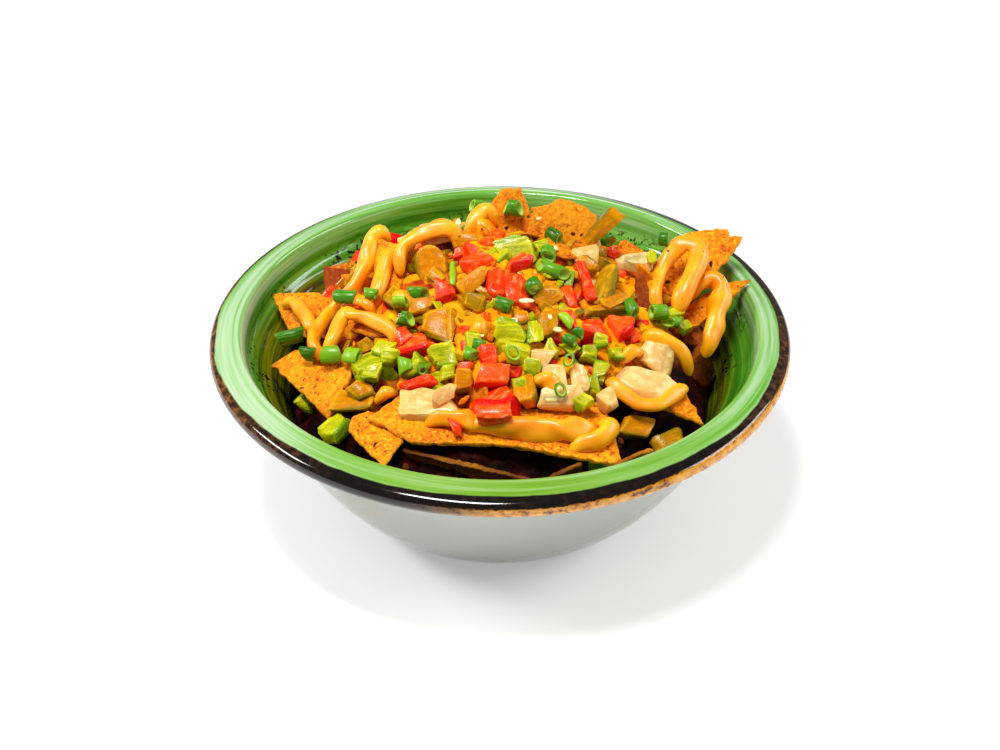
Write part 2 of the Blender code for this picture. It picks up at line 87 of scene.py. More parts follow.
VIEW_DISTANCE = 0.9      # in metres, from a point on the bowl's axis
VIEW_HEIGHT = 0.04696    # of that point
VIEW_ANGLE = math.radians(34.435)
LENS = 93.08             # in millimetres, as for a sensor 36 mm wide

camera = bpy.data.objects.new("camera", bpy.data.cameras.new("camera"))
camera.data.lens = LENS
camera.data.sensor_width = 36.0
camera.location = (0.0, -VIEW_DISTANCE * math.cos(VIEW_ANGLE),
                   VIEW_HEIGHT + VIEW_DISTANCE * math.sin(VIEW_ANGLE))
camera.rotation_euler = (math.pi / 2.0 - VIEW_ANGLE, 0.0, 0.0)
bpy.context.scene.collection.objects.link(camera)
bpy.context.scene.camera = camera


# ---------------------------------------------------------------- the bowl
# Turned stoneware with a rolled rim.  Green glaze brushed on while the bowl turned runs in rings
# inside, an iron-brown glaze breaks to ochre over the rim, and the outside is dipped in white.

RIM_RADIUS = 99.95
RIM_HEIGHT = 64.0
FOOT_RADIUS = 44.5
FOOT_WIDTH = 5.0
FOOT_RECESS = 2.2
FLOOR_HEIGHT = 7.0
FLOOR_RADIUS = 40.0
INNER_RADIUS, OUTER_RADIUS = 80.4, 85.1    # of the wall's two sides, where its curves would end
WALL_TOP = 60.0
UNDER_RIM = (95.0, 58.8) # radius and height where the underside of the rim begins
RIM_ROLL, LIP_ROLL = 3.2, 2.5          # radii of the rolled rim and of the ridge inside it
BREAK_RADIUS = 86.5      # where the lip breaks to the wall
BREAK_HEIGHT = 60.4
WALL_POWER = 1.41        # how full the wall's curve is: 2 is straight, 1 an ellipse
WALL_STEP = 1.25         # spacing of the rings on the clay's surface
RIM_STEP = 0.42          # and over the rolled rim
RIM_FROM = 57.5          # the height above which they lie that close
PROFILE_SAMPLES = 6000   # along the drawn profile, before the rings are placed on it
PROFILE_BLUR = 5         # rings over which a corner is rounded
THROWN_DEPTH = 0.09      # rings left by the thrower's fingers
THROWN_FADE = 6.0        # they start over this length from the rim
BOWL_COLUMNS = 256


def linear(value):
    """sRGB hex to linear: c / 12.92 in the darks, otherwise ((c + 0.055) / 1.055) ** 2.4.
    A value that is not a colour in hex stays as it is."""
    if not isinstance(value, str):
        return value
    value = np.array([int(value[i:i + 2], 16) for i in (1, 3, 5)]) / 255.0
    value = np.where(value > 0.04045, ((value + 0.055) / 1.055) ** 2.4, value / 12.92)
    return (*(float(part) for part in value), 1.0)


BLEND = {"data_type": "RGBA", "out": 2}     # what makes a Mix node mix colours


def add(tree, kind, sockets=(), out=0, ramp=(), **settings):
    """Add one shader node with its settings, values, links and ramp stops; gives the output asked
    for, or a list where several are.  `sockets` is a dict, or a tuple of the first sockets."""
    node = tree.nodes.new("ShaderNode" + kind)
    for key, value in settings.items():
        setattr(node, key, value)
    for key, value in (sockets.items() if isinstance(sockets, dict) else enumerate(sockets)):
        if isinstance(value, bpy.types.NodeSocket):
            tree.links.new(value, node.inputs[key])
        else:
            node.inputs[key].default_value = linear(value)
    for number, (place, colour) in enumerate(ramp):
        stops = node.color_ramp.elements
        stop = stops[number] if number < len(stops) else stops.new(1.0)
        stop.position, stop.color = place, linear(colour)
    return [node.outputs[place] for place in out] if isinstance(out, tuple) else node.outputs[out]


def new_material(name, sockets):
    """A Principled material, with the values that are the same all over it, its tree and shader."""
    made = bpy.data.materials.new(name)
    made.use_nodes = True
    shader = made.node_tree.nodes["Principled BSDF"]
    for key, value in sockets.items():
        shader.inputs[key].default_value = linear(value)
    return made, made.node_tree, shader.inputs


def finish(tree, shader, colour, relief, strength, depth):
    """Link a colour and a relief, at most `depth` metres deep, to a finish."""
    tree.links.new(colour, shader["Base Color"])
    bump = add(tree, "Bump", {"Strength": strength, "Distance": depth, "Height": relief})
    tree.links.new(bump, shader["Normal"])


def skin_faces(rows, columns):
    """Faces of a closed skin: `rows` rings of `columns` points between a first and a last pole."""
    ring = np.arange(rows * columns).reshape(rows, columns) + 1
    after = np.roll(ring, -1, axis=1)
    quads = np.stack([ring[:-1], after[:-1], after[1:], ring[1:]], axis=-1).reshape(-1, 4)
    last = rows * columns + 1
    caps = [(0, int(b), int(a)) for a, b in zip(ring[0], after[0])]
    caps += [(last, int(a), int(b)) for a, b in zip(ring[-1], after[-1])]
    return [tuple(face) for face in quads.tolist()] + caps


def lay_mesh(name, points, faces, material, attributes=(), smooth=True):
    """One piece from points in millimetres, its faces turned outwards, riding on the bowl's body."""
    points = np.array(points, float)
    points[:, 2] = np.minimum(points[:, 2], CEILING)
    mesh = bpy.data.meshes.new(name)
    mesh.from_pydata((points * MM).tolist(), [], faces)
    for key, values in attributes:
        layer = mesh.attributes.new(key, "FLOAT_VECTOR", "POINT")
        layer.data.foreach_set("vector", np.asarray(values, dtype=np.float32).ravel())
    work = bmesh.new()
    work.from_mesh(mesh)
    bmesh.ops.recalc_face_normals(work, faces=work.faces)
    work.to_mesh(mesh)
    work.free()
    if smooth:
        mesh.shade_smooth()
    mesh.materials.append(material)
    piece = bpy.data.objects.new(name, mesh)
    bpy.context.scene.collection.objects.link(piece)
    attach(piece, "root")
    return piece


def wall_curve(foot, top_radius, base, top, last, count=40):
    """A superellipse: radius rises with sin(t) ** power, height with 1 - cos(t) ** power."""
    turns = np.radians(np.linspace(0.0, last, count))
    return np.stack([foot + (top_radius - foot) * np.sin(turns) ** WALL_POWER,
                     base + (top - base) * (1.0 - np.cos(turns) ** WALL_POWER)], axis=1)


def arc(centre_r, centre_z, radius, first, last, count=14):
    """Points on a circle of the profile, angles in degrees from straight outwards."""
    angles = np.radians(np.linspace(first, last, count))
    return np.stack([centre_r + radius * np.cos(angles), centre_z + radius * np.sin(angles)], axis=1)


def unit(vectors):
    """Each vector over its own length."""
    return vectors / np.maximum(np.linalg.norm(vectors, axis=-1, keepdims=True), 1e-6)


def measured(points):
    """How far along a line of points each one lies: the running sum of the steps between them."""
    return np.concatenate([[0.0], np.cumsum(np.linalg.norm(np.diff(points, axis=0), axis=1))])


def placed(places, length, points):
    """Points at given distances along a line."""
    return np.stack([np.interp(places, length, column) for column in points.T], axis=1)


recess = FOOT_RADIUS - FOOT_WIDTH
inner_wall = wall_curve(FLOOR_RADIUS, INNER_RADIUS, FLOOR_HEIGHT, WALL_TOP, 74.0)
drawn = np.vstack([
    # the foot ring and its recess, from the middle out
    [(0.0, FOOT_RECESS), (recess - 1.5, FOOT_RECESS), (recess, 0.0), (FOOT_RADIUS, 0.0)],
    # the outer wall, then its flare under the rim
    wall_curve(FOOT_RADIUS, OUTER_RADIUS, 1.0, WALL_TOP, 73.0),
    [(85.6, 53.6), (90.0, 56.8), UNDER_RIM],
    # the rolled rim, and the soft ridge of the lip inside it
    arc(RIM_RADIUS - RIM_ROLL, RIM_HEIGHT - 1.1, RIM_ROLL, -58.0, 70.0),
    arc(90.2, RIM_HEIGHT + 2.0, LIP_ROLL, 65.0, 180.0),
    # the break from lip to wall, then down to the floor and the middle
    [(BREAK_RADIUS, BREAK_HEIGHT), (83.0, 56.0)],
    inner_wall[::-1],
    [(0.0, FLOOR_HEIGHT)]])
along = measured(drawn)
run = np.linspace(0.0, along[-1], PROFILE_SAMPLES)
spacing = np.where(np.interp(run, along, drawn[:, 1]) > RIM_FROM, RIM_STEP, WALL_STEP)
steps = np.cumsum((run[1] - run[0]) / spacing)
run = np.interp(np.linspace(steps[0], steps[-1], int(steps[-1])), steps, run)
profile = placed(run, along, drawn)
weights = np.hanning(PROFILE_BLUR + 2)[1:-1]
weights /= weights.sum()
padded = np.pad(profile, ((PROFILE_BLUR // 2,) * 2, (0, 0)), mode="edge")
profile = np.stack([np.convolve(padded[:, k], weights, mode="valid") for k in (0, 1)], axis=1)
profile[:, 1] = np.maximum(profile[:, 1], 0.0)


def run_at(radius, height):
    """How far along the profile the point nearest to a radius and height lies."""
    return float(run[np.argmin(np.hypot(profile[:, 0] - radius, profile[:, 1] - height))])


RUN_UNDER = run_at(*UNDER_RIM)
RUN_EDGE = run_at(99.75, 63.9)             # ochre turns to iron brown here
RUN_TOP = run_at(96.0, 66.2)               # iron brown turns to green here
RUN_BREAK = run_at(BREAK_RADIUS, BREAK_HEIGHT)

inside = np.clip((run - RUN_TOP) / THROWN_FADE, 0.0, 1.0)
thrown = THROWN_DEPTH * inside * (np.sin(run * 1.31) + np.sin(run * 0.83 + 1.0) - 2.0)
slope = unit(np.gradient(profile, axis=0))
profile = profile + np.stack([slope[:, 1], -slope[:, 0]], axis=1) * thrown[:, None]
rings = profile[1:-1]
around = np.arange(BOWL_COLUMNS) * 2.0 * math.pi / BOWL_COLUMNS
lathe = np.stack([rings[:, None, 0] * np.cos(around), rings[:, None, 0] * np.sin(around),
                  np.repeat(rings[:, None, 1], BOWL_COLUMNS, axis=1)], axis=-1)
turned = np.stack([np.repeat(run[1:-1, None], BOWL_COLUMNS, axis=1),
                   np.tile(np.cos(around), (len(rings), 1)),
                   np.tile(np.sin(around), (len(rings), 1))], axis=-1)
points = np.vstack([[(0.0, 0.0, profile[0, 1])], lathe.reshape(-1, 3), [(0.0, 0.0, profile[-1, 1])]])
turned = np.vstack([[(run[0], 1.0, 0.0)], turned.reshape(-1, 3), [(run[-1], 1.0, 0.0)]])


def facing(degrees, width):
    """1 on the side of the bowl at a bearing, falling to 0 at `width` degrees to either side."""
    bearing = np.degrees(np.arctan2(turned[:, 2], turned[:, 1]))
    away = np.abs((bearing - degrees + 180.0) % 360.0 - 180.0)
    return 0.5 + 0.5 * np.cos(np.clip(away / width, 0.0, 1.0) * math.pi)


# How the glazes vary round the bowl: how pale the green is, how far the iron has worn to brown,
# and how much ochre shows under the rim.  Then, how many millimetres short of its place the green
# stops on the rim, how yellow it is there, and how far up the rim the ochre reaches
rubbed = facing(186, 55) + 0.45 * facing(125, 50)
tint = np.stack([0.95 * facing(196, 75) + 0.6 * facing(-8, 50) + 0.25 * facing(60, 60),
                 rubbed + 0.34 * facing(-8, 45), np.clip(9.0 * facing(337, 86), 0.0, 1.0)], axis=1)
brim = np.stack([0.9 * facing(60, 110) - 1.9 * rubbed, facing(270, 75),
                 1.5 * facing(325, 48)], axis=1)

# Glossy glaze: a clear, glassy skin with sharp highlights over soft streaks of colour
glaze, tree, shader = new_material("reactive_glaze", {"Roughness": 0.09, "IOR": 1.5})
place = add(tree, "Attribute", attribute_name="turned", out="Vector")
run_on = add(tree, "SeparateXYZ", {0: place})
kinds = add(tree, "Attribute", attribute_name="tint", out="Vector")
pale, wear, ochre_share = add(tree, "SeparateXYZ", {0: kinds}, out=(0, 1, 2))
edges = add(tree, "Attribute", attribute_name="brim", out="Vector")
short_by, yellowed, reaches = add(tree, "SeparateXYZ", {0: edges}, out=(0, 1, 2))
where = add(tree, "TexCoord", out="Object")
drift, mottle, spot, patch, stain = (
    add(tree, "TexNoise", {"Vector": where, "Scale": scale, "Detail": detail})
    for scale, detail in ((45.0, 3.0), (420.0, 4.0), (520.0, 2.0), (36.0, 1.0), (24.0, 2.0)))
# Place along the profile, wandering by some millimetres, so that each glaze ends in an uneven line
wavy, ragged, brushed = (
    add(tree, "Math", {0: run_on, 1: add(tree, "MapRange", {0: noise, 3: -swing, 4: swing})},
        operation="ADD") for noise, swing in ((drift, 2.5), (mottle, 1.2), (drift, 1.3)))

# Brush streaks 2 to 5 mm apart, drawn out round the bowl
streak_place = add(tree, "VectorMath", (place, (0.42, 1.1, 1.1)), operation="MULTIPLY")
streaks = add(tree, "TexNoise", {"Vector": streak_place, "Scale": 1.0, "Detail": 4.0,
                                 "Roughness": 0.55})
fine_place = add(tree, "VectorMath", (place, (1.5, 2.2, 2.2)), operation="MULTIPLY")
fine = add(tree, "TexNoise", {"Vector": fine_place, "Scale": 1.0, "Detail": 3.0})
fine = add(tree, "MapRange", (fine, 0.0, 1.0, -0.13, 0.13))
tone = add(tree, "Math", (pale, 0.23, streaks), operation="MULTIPLY_ADD")
tone = add(tree, "Math", (tone, fine), operation="ADD")
# The lip darkens towards the break: partly the glaze's own tone, partly painted shade on its inner
# edge
deeper = add(tree, "MapRange", {0: run_on, 1: RUN_BREAK - 5.5, 2: RUN_BREAK - 1.0, 4: -0.17})
tone = add(tree, "Math", (tone, deeper), operation="ADD")
lip = add(tree, "ValToRGB", {0: tone}, ramp=[
    (0.26, "#367410"), (0.40, "#529524"), (0.54, "#76ae52"), (0.66, "#99be87"), (0.84, "#b4caa6")])
yellow = add(tree, "MapRange", {0: yellowed, 4: 0.5})
lip = add(tree, "Mix", {0: yellow, 6: lip, 7: "#7a9a26"}, **BLEND)
deep = add(tree, "Math", (streaks, fine), operation="ADD")
upper = add(tree, "ValToRGB", {0: deep},
            ramp=[(0.34, "#2c6a0c"), (0.50, "#468c1c"), (0.68, "#6aa83a")])
lower = add(tree, "ValToRGB", {0: deep}, ramp=[
    (0.34, "#2e3802"), (0.46, "#566202"), (0.56, "#7c7e04"), (0.70, "#9c9a14")])
# On the side where the ochre shows, the clear green also runs 5 mm further down the wall
drained = add(tree, "Math", (ochre_share, -5.0, wavy), operation="MULTIPLY_ADD")
sunk = add(tree, "MapRange", (drained, RUN_BREAK + 2.0, RUN_BREAK + 8.0))
wall = add(tree, "Mix", {0: sunk, 6: upper, 7: lower}, **BLEND)
# Painted shade: low down round the food the wall darkens to near black, as the shade that falls there
thick = add(tree, "MapRange", {0: drained, 1: RUN_BREAK + 15.0, 2: RUN_BREAK + 28.0, 4: 0.85})
wall = add(tree, "Mix", {0: thick, 6: wall, 7: "#0e0f02"}, **BLEND)
on_wall = add(tree, "MapRange", (wavy, RUN_BREAK - 1.5, RUN_BREAK + 1.5))
colour = add(tree, "Mix", {0: on_wall, 6: lip, 7: wall}, **BLEND)

# Iron spots gather in patches on the wall and on the lip in front of it
spot = add(tree, "MapRange", (spot, 0.57, 0.59))
patch = add(tree, "MapRange", (patch, 0.51, 0.56))
below = add(tree, "MapRange", (run_on, RUN_BREAK - 3.0, RUN_BREAK + 2.0))
spotted = add(tree, "Math", (patch, below), operation="MULTIPLY")
spotted = add(tree, "Math", (spot, spotted), operation="MULTIPLY")
colour = add(tree, "Mix", {0: spotted, 6: colour, 7: "#1d0d05"}, **BLEND)

# Iron glaze over the rim, near black, rubbed to brown on some sides, and broken to ochre below
iron = add(tree, "ValToRGB", {0: mottle},
           ramp=[(0.36, "#070403"), (0.55, "#110a07"), (0.72, "#27150c")])
worn = add(tree, "ValToRGB", {0: mottle},
           ramp=[(0.36, "#24140c"), (0.50, "#523012"), (0.68, "#96602a")])
iron = add(tree, "Mix", {0: wear, 6: iron, 7: worn}, **BLEND)
ochre = add(tree, "ValToRGB", {0: mottle}, ramp=[
    (0.31, "#1c0f06"), (0.37, "#854a0c"), (0.46, "#c27e18"), (0.68, "#e0a444")])
ragged = add(tree, "Math", (ragged, reaches), operation="SUBTRACT")
under_edge = add(tree, "MapRange", (ragged, RUN_EDGE + 0.2, RUN_EDGE - 0.2))
under_edge = add(tree, "Math", (under_edge, ochre_share), operation="MULTIPLY")
rim = add(tree, "Mix", {0: under_edge, 6: iron, 7: ochre}, **BLEND)
thinned = add(tree, "Math", (brushed, short_by), operation="SUBTRACT")
past_rim = add(tree, "MapRange", (thinned, RUN_TOP - 0.25, RUN_TOP + 0.25))
colour = add(tree, "Mix", {0: past_rim, 6: rim, 7: colour}, **BLEND)

# White slip outside, painted a grey white as shade, faintly stained, and darker towards the foot as
# painted shade
white = add(tree, "ValToRGB", {0: stain}, ramp=[(0.60, "#a3a6a0"), (0.80, "#a49476")])
low = add(tree, "MapRange", {0: add(tree, "SeparateXYZ", {0: where}, out=2), 1: 0.045, 2: 0.008})
white = add(tree, "Mix", {0: low, 6: white, 7: "#6c6f66"}, **BLEND)
on_rim = add(tree, "MapRange", (brushed, RUN_UNDER + 0.8, RUN_UNDER + 1.3))
colour = add(tree, "Mix", {0: on_rim, 6: white, 7: colour}, **BLEND)
finish(tree, shader, colour, fine, 0.10, 0.0004)

bowl = lay_mesh("glazed_bowl", points, skin_faces(len(rings), BOWL_COLUMNS), glaze,
                [("turned", turned), ("tint", tint), ("brim", brim)])
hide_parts("bowl")


# ---------------------------------------------------------------- the core of the heap
# Broken chips soaked in cheese sauce and tomato juice, packed under the toppings.  Pools of sauce
# lie on its upper part, and its steep lower sides are a wet red brown, painted dark as shade.

CORE_DEPTH = 0.9         # under the solid's top
CORE_RINGS = 90
CORE_COLUMNS = 260
CORE_MARGIN = 0.6        # inside the solid's edge
EDGE_SEARCH = (50.0, 80.0, 0.5)        # radii from, to and by which that edge is looked for
UNDER_SHARES = (0.97, 0.8, 0.5, 0.2)   # rings of the underside, against the edge
CORE_LIFT = 0.4          # above the solid's underside
POOL_RISE = 2.0          # how far a pool of sauce stands up
DARK_BELOW, PALE_ABOVE = 62.0, 72.0    # heights between which the deep sides turn to the lit top
OVERHEAD, UNDERGROUND = 300.0, -50.0     # where vertical rays start, clear of the part


def ripple(points, size, seed, waves=7):
    """Uneven numbers, about -1 to 1: a sum of sine waves of length `size` in random directions."""
    draw = np.random.default_rng(seed)
    turns = unit(draw.normal(size=(waves, 3)))
    turns *= (2.0 * math.pi / size) * draw.uniform(0.7, 1.4, waves)[:, None]
    phases = draw.uniform(0.0, 2.0 * math.pi, waves)
    return np.sin(np.asarray(points) @ turns.T + phases).sum(axis=-1) / math.sqrt(waves)


def node_shape(name):
    """A solid's points in millimetres and its triangles."""
    mesh = nodes[name].data
    mesh.calc_loop_triangles()
    flat = np.empty(len(mesh.vertices) * 3)
    mesh.vertices.foreach_get("co", flat)
    corners = np.empty(len(mesh.loop_triangles) * 3, dtype=np.int32)
    mesh.loop_triangles.foreach_get("vertices", corners)
    return flat.reshape(-1, 3) / MM, corners.reshape(-1, 3)


def tree_of(names):
    """A search tree over several solids, and which solid each of its triangles is from."""
    points, faces, owners, start = [], [], [], 0
    for name in names:
        own, triangles = node_shape(name)
        points.append(own)
        faces.append(triangles + start)
        owners += [name] * len(triangles)
        start += len(own)
    points, faces = np.vstack(points).tolist(), np.vstack(faces).tolist()
    return BVHTree.FromPolygons(points, faces, all_triangles=True), owners


def heights(tree, places, down=True):
    """Height at which a vertical ray meets the solids at each x, y, or nan where it misses."""
    start, way = (OVERHEAD, -1.0) if down else (UNDERGROUND, 1.0)
    hits = [tree.ray_cast(Vector((x, y, start)), Vector((0.0, 0.0, way)))[0] for x, y in places]
    return np.array([np.nan if hit is None else hit.z for hit in hits])


heap_tree, _ = tree_of(["heap"])
turns = np.arange(CORE_COLUMNS) * 2.0 * math.pi / CORE_COLUMNS
radii = np.arange(*EDGE_SEARCH)
compass = np.stack([np.cos(turns), np.sin(turns)], axis=-1)
found = heights(heap_tree, (radii[:, None, None] * compass).reshape(-1, 2)).reshape(len(radii), -1)
heap_edge = np.array([radii[~np.isnan(column)].max() for column in found.T]) - CORE_MARGIN
shares = np.sqrt(np.linspace(0.0, 1.0, CORE_RINGS + 1)[1:])
flat = (shares[:, None] * heap_edge)[..., None] * compass
top = heights(heap_tree, flat.reshape(-1, 2)).reshape(flat.shape[:2])
ground = np.concatenate([flat, np.zeros_like(flat[..., :1])], axis=-1)
pool = np.clip(0.7 + 1.5 * ripple(ground, 15.0, 8) + 0.8 * ripple(ground, 6.0, 9), 0.0, 1.0)
pool *= np.clip((top - DARK_BELOW) / (PALE_ABOVE - DARK_BELOW), 0.0, 1.0)
pool = pool * pool * (3.0 - 2.0 * pool)
lumpy = 0.9 * ripple(ground, 8.0, 3) + 0.6 * ripple(ground, 3.2, 4)
top = top - CORE_DEPTH + POOL_RISE * pool + lumpy * (1.0 - 0.75 * pool)
under = (np.array(UNDER_SHARES)[:, None] * heap_edge)[..., None] * compass
low = heights(heap_tree, under.reshape(-1, 2), down=False).reshape(under.shape[:2]) + CORE_LIFT
top[-1] = low[0] + 0.5
core = np.concatenate([np.concatenate([flat, top[..., None]], axis=-1),
                       np.concatenate([under, low[..., None]], axis=-1)])
# Marks for the finish: where sauce pools, and a painted light share, lit on top and painted shade low
# on the sides
soaked = np.zeros_like(core)
soaked[:CORE_RINGS, :, 0] = pool
soaked[:CORE_RINGS, :, 1] = np.clip((top - DARK_BELOW + 3.0) / 13.0, 0.0, 1.0)
crown = heights(heap_tree, [(0.0, 0.0)])[0] - CORE_DEPTH
bottom = heights(heap_tree, [(0.0, 0.0)], down=False)[0] + CORE_LIFT
points = np.vstack([[(0.0, 0.0, crown)], core.reshape(-1, 3), [(0.0, 0.0, bottom)]])
soaked = np.vstack([[(0.3, 1.0, 0.0)], soaked.reshape(-1, 3), [(0.0, 0.0, 0.0)]])

# Wet crumb: coarse grains about 2 mm across, painted orange where lit and near black as painted shade
# in the deep gaps
crumb, tree, shader = new_material("soaked_crumb_painted_shade", {
    "Subsurface Weight": 0.1, "Subsurface Scale": 0.002, "Roughness": 0.7,
    "Specular IOR Level": 0.08})
where = add(tree, "TexCoord", out="Object")
soak = add(tree, "Attribute", attribute_name="soaked", out="Vector")
pool_share, lit_share = add(tree, "SeparateXYZ", {0: soak}, out=(0, 1))
lumps = add(tree, "TexNoise", {"Vector": where, "Scale": 170.0, "Detail": 5.0})
bright = add(tree, "ValToRGB", {0: lumps}, ramp=[
    (0.34, "#6a1202"), (0.46, "#a83203"), (0.56, "#cf5f04"), (0.68, "#e8870a")])
dark = add(tree, "ValToRGB", {0: lumps},
           ramp=[(0.36, "#0c0101"), (0.52, "#220301"), (0.70, "#4c0c02")])
colour = add(tree, "Mix", {0: lit_share, 6: dark, 7: bright}, **BLEND)
sauce = add(tree, "ValToRGB", {0: lumps}, ramp=[(0.36, "#f58c00"), (0.64, "#ffb20a")])
pooled = add(tree, "MapRange", (pool_share, 0.35, 0.65))
colour = add(tree, "Mix", {0: pooled, 6: colour, 7: sauce}, **BLEND)
grain = add(tree, "TexVoronoi", {"Vector": where, "Scale": 480.0})
rough = add(tree, "Math", {0: grain, 1: add(tree, "MapRange", {0: pooled, 3: 1.0, 4: 0.1})},
            operation="MULTIPLY")
finish(tree, shader, colour, rough, 0.7, 0.0006)
core_piece = lay_mesh("soaked_chips_core", points, skin_faces(len(core), CORE_COLUMNS), crumb,
                      [("soaked", soaked)])
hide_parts("heap")


# ---------------------------------------------------------------- tortilla chips
# Thin fried corn, 1.7 mm thick, bowed in the fryer, with blisters, a broken edge and red spice.
# Each follows its solid: the outline seen square on, and the bow fitted to its points.

CHIP_HALF = 0.85         # half its thickness
CHIP_SPACING = 0.9       # between its points
CHIP_SAMPLES = 24        # along each edge of a solid, to fit its bow
CHIP_MIDDLE = 20.0       # how far from the edge its middle is marked to be
BLISTER = 0.26           # how far blisters stand out, and how wide they are
BLISTER_SIZE = 8.0
EDGE_WANDER = 0.22       # how far the broken edge wanders
FRIED_BY_DEFAULT = 0.08
FRIED_DARK = {           # how dark the others are fried, and painted as shade: 0 is golden, 1 is red brown
    "chip_left_back": 1.0, "chip_left": 0.3, "chip_right_wall": 0.9, "chip_right_under": 0.9,
    "chip_back_tip": 0.3, "chip_back_middle": 0.3, "chip_back_right": 0.35, "chip_upright": 1.0,
    "chip_left_small": 0.65, "chip_rim_small": 0.2, "chip_rim": 0.1, "chip_right_front": 0.2}
SOAKED = {               # how far a chip low in the bowl has soaked through, and is painted dark as shade
    "chip_low_left": 1.0, "chip_low_middle": 1.0, "chip_low_right": 1.0, "chip_behind_low": 0.7,
    "chip_right_wall": 0.8, "chip_right_under": 0.5, "chip_left_front": 0.25, "chip_front": 0.1}

# Fried masa: dull, with toasted grains about 1 mm across and a paler broken edge
corn, tree, shader = new_material("fried_corn", {
    "Subsurface Weight": 0.08, "Subsurface Scale": 0.0015, "Roughness": 0.7,
    "Specular IOR Level": 0.14})
where = add(tree, "TexCoord", out="Object")
fried = add(tree, "Attribute", attribute_name="fried", out="Vector")
inset, darker, soaks = add(tree, "SeparateXYZ", {0: fried}, out=(0, 1, 2))
broad = add(tree, "TexNoise", {"Vector": where, "Scale": 65.0, "Detail": 4.0})
grains = add(tree, "TexNoise", {"Vector": where, "Scale": 900.0, "Detail": 2.0})
spice = add(tree, "TexNoise", {"Vector": where, "Scale": 480.0, "Detail": 4.0, "Roughness": 0.7})
burnt = add(tree, "TexNoise", {"Vector": where, "Scale": 260.0, "Detail": 1.0})
colour = add(tree, "ValToRGB", {0: broad},
             ramp=[(0.34, "#dc6c00"), (0.50, "#f08a00"), (0.66, "#fa9e02")])
for part, least, most, share, shade in (
        (grains, 0.50, 0.66, 1.0, "#ffb61a"), (spice, 0.52, 0.68, 1.0, "#a83402"),
        (burnt, 0.71, 0.75, 1.0, "#3d1206"), (inset, 1.2, 0.2, 0.55, "#f5a01e")):
    mask = add(tree, "MapRange", {0: part, 1: least, 2: most, 4: share})
    colour = add(tree, "Mix", {0: mask, 6: colour, 7: shade}, **BLEND)
# Some chips were fried darker and are painted darker still as shade, and those at the bottom of the
# bowl have soaked up sauce and juice and are painted dark as the shade there
fried_dark = add(tree, "Mix", {0: darker, 6: "#ffffff", 7: "#9a6a3e"}, **BLEND)
colour = add(tree, "Mix", {0: 1.0, 6: colour, 7: fried_dark}, blend_type="MULTIPLY", **BLEND)
uneven = add(tree, "MapRange", {0: broad, 3: -0.003, 4: 0.003})
height = add(tree, "SeparateXYZ", {0: where}, out=2)
height = add(tree, "Math", (height, uneven), operation="ADD")
# Painted shade: below 64.5 mm a soaking chip darkens towards a near-black red, for its soak and for
# the shade low in the bowl
soaked_low = add(tree, "MapRange", {0: height, 1: 0.0645, 2: 0.0555, 4: 0.9})
soaked_low = add(tree, "Math", (soaked_low, soaks), operation="MULTIPLY")
colour = add(tree, "Mix", {0: soaked_low, 6: colour, 7: "#3c0a01"}, **BLEND)
rough = add(tree, "Math", (grains, 0.6, spice), operation="MULTIPLY_ADD")
finish(tree, shader, colour, rough, 0.75, 0.0005)


def star_outline(flat, triangles, count=720):
    """How far a shape reaches from the origin in each direction: the farthest crossing of the ray
    at each angle with any edge a -> b, found where cross(a + t(b - a), direction) = 0."""
    edges = np.vstack([triangles[:, [0, 1]], triangles[:, [1, 2]], triangles[:, [2, 0]]])
    a, b = flat[edges[:, 0]], flat[edges[:, 1]]
    angles = np.arange(count) * 2.0 * math.pi / count
    way = np.stack([np.cos(angles), np.sin(angles)], axis=1)
    across_a = a[:, 0] * way[:, None, 1] - a[:, 1] * way[:, None, 0]
    across_b = b[:, 0] * way[:, None, 1] - b[:, 1] * way[:, None, 0]
    gap = across_a - across_b
    share = across_a / np.where(np.abs(gap) < 1e-9, 1e-9, gap)
    met = a + share[..., None] * (b - a)
    reach = (met * way[:, None]).sum(axis=-1)
    reach = np.where((share >= 0.0) & (share <= 1.0) & (np.abs(gap) > 1e-9), reach, 0.0).max(axis=1)
    return way * reach[:, None]


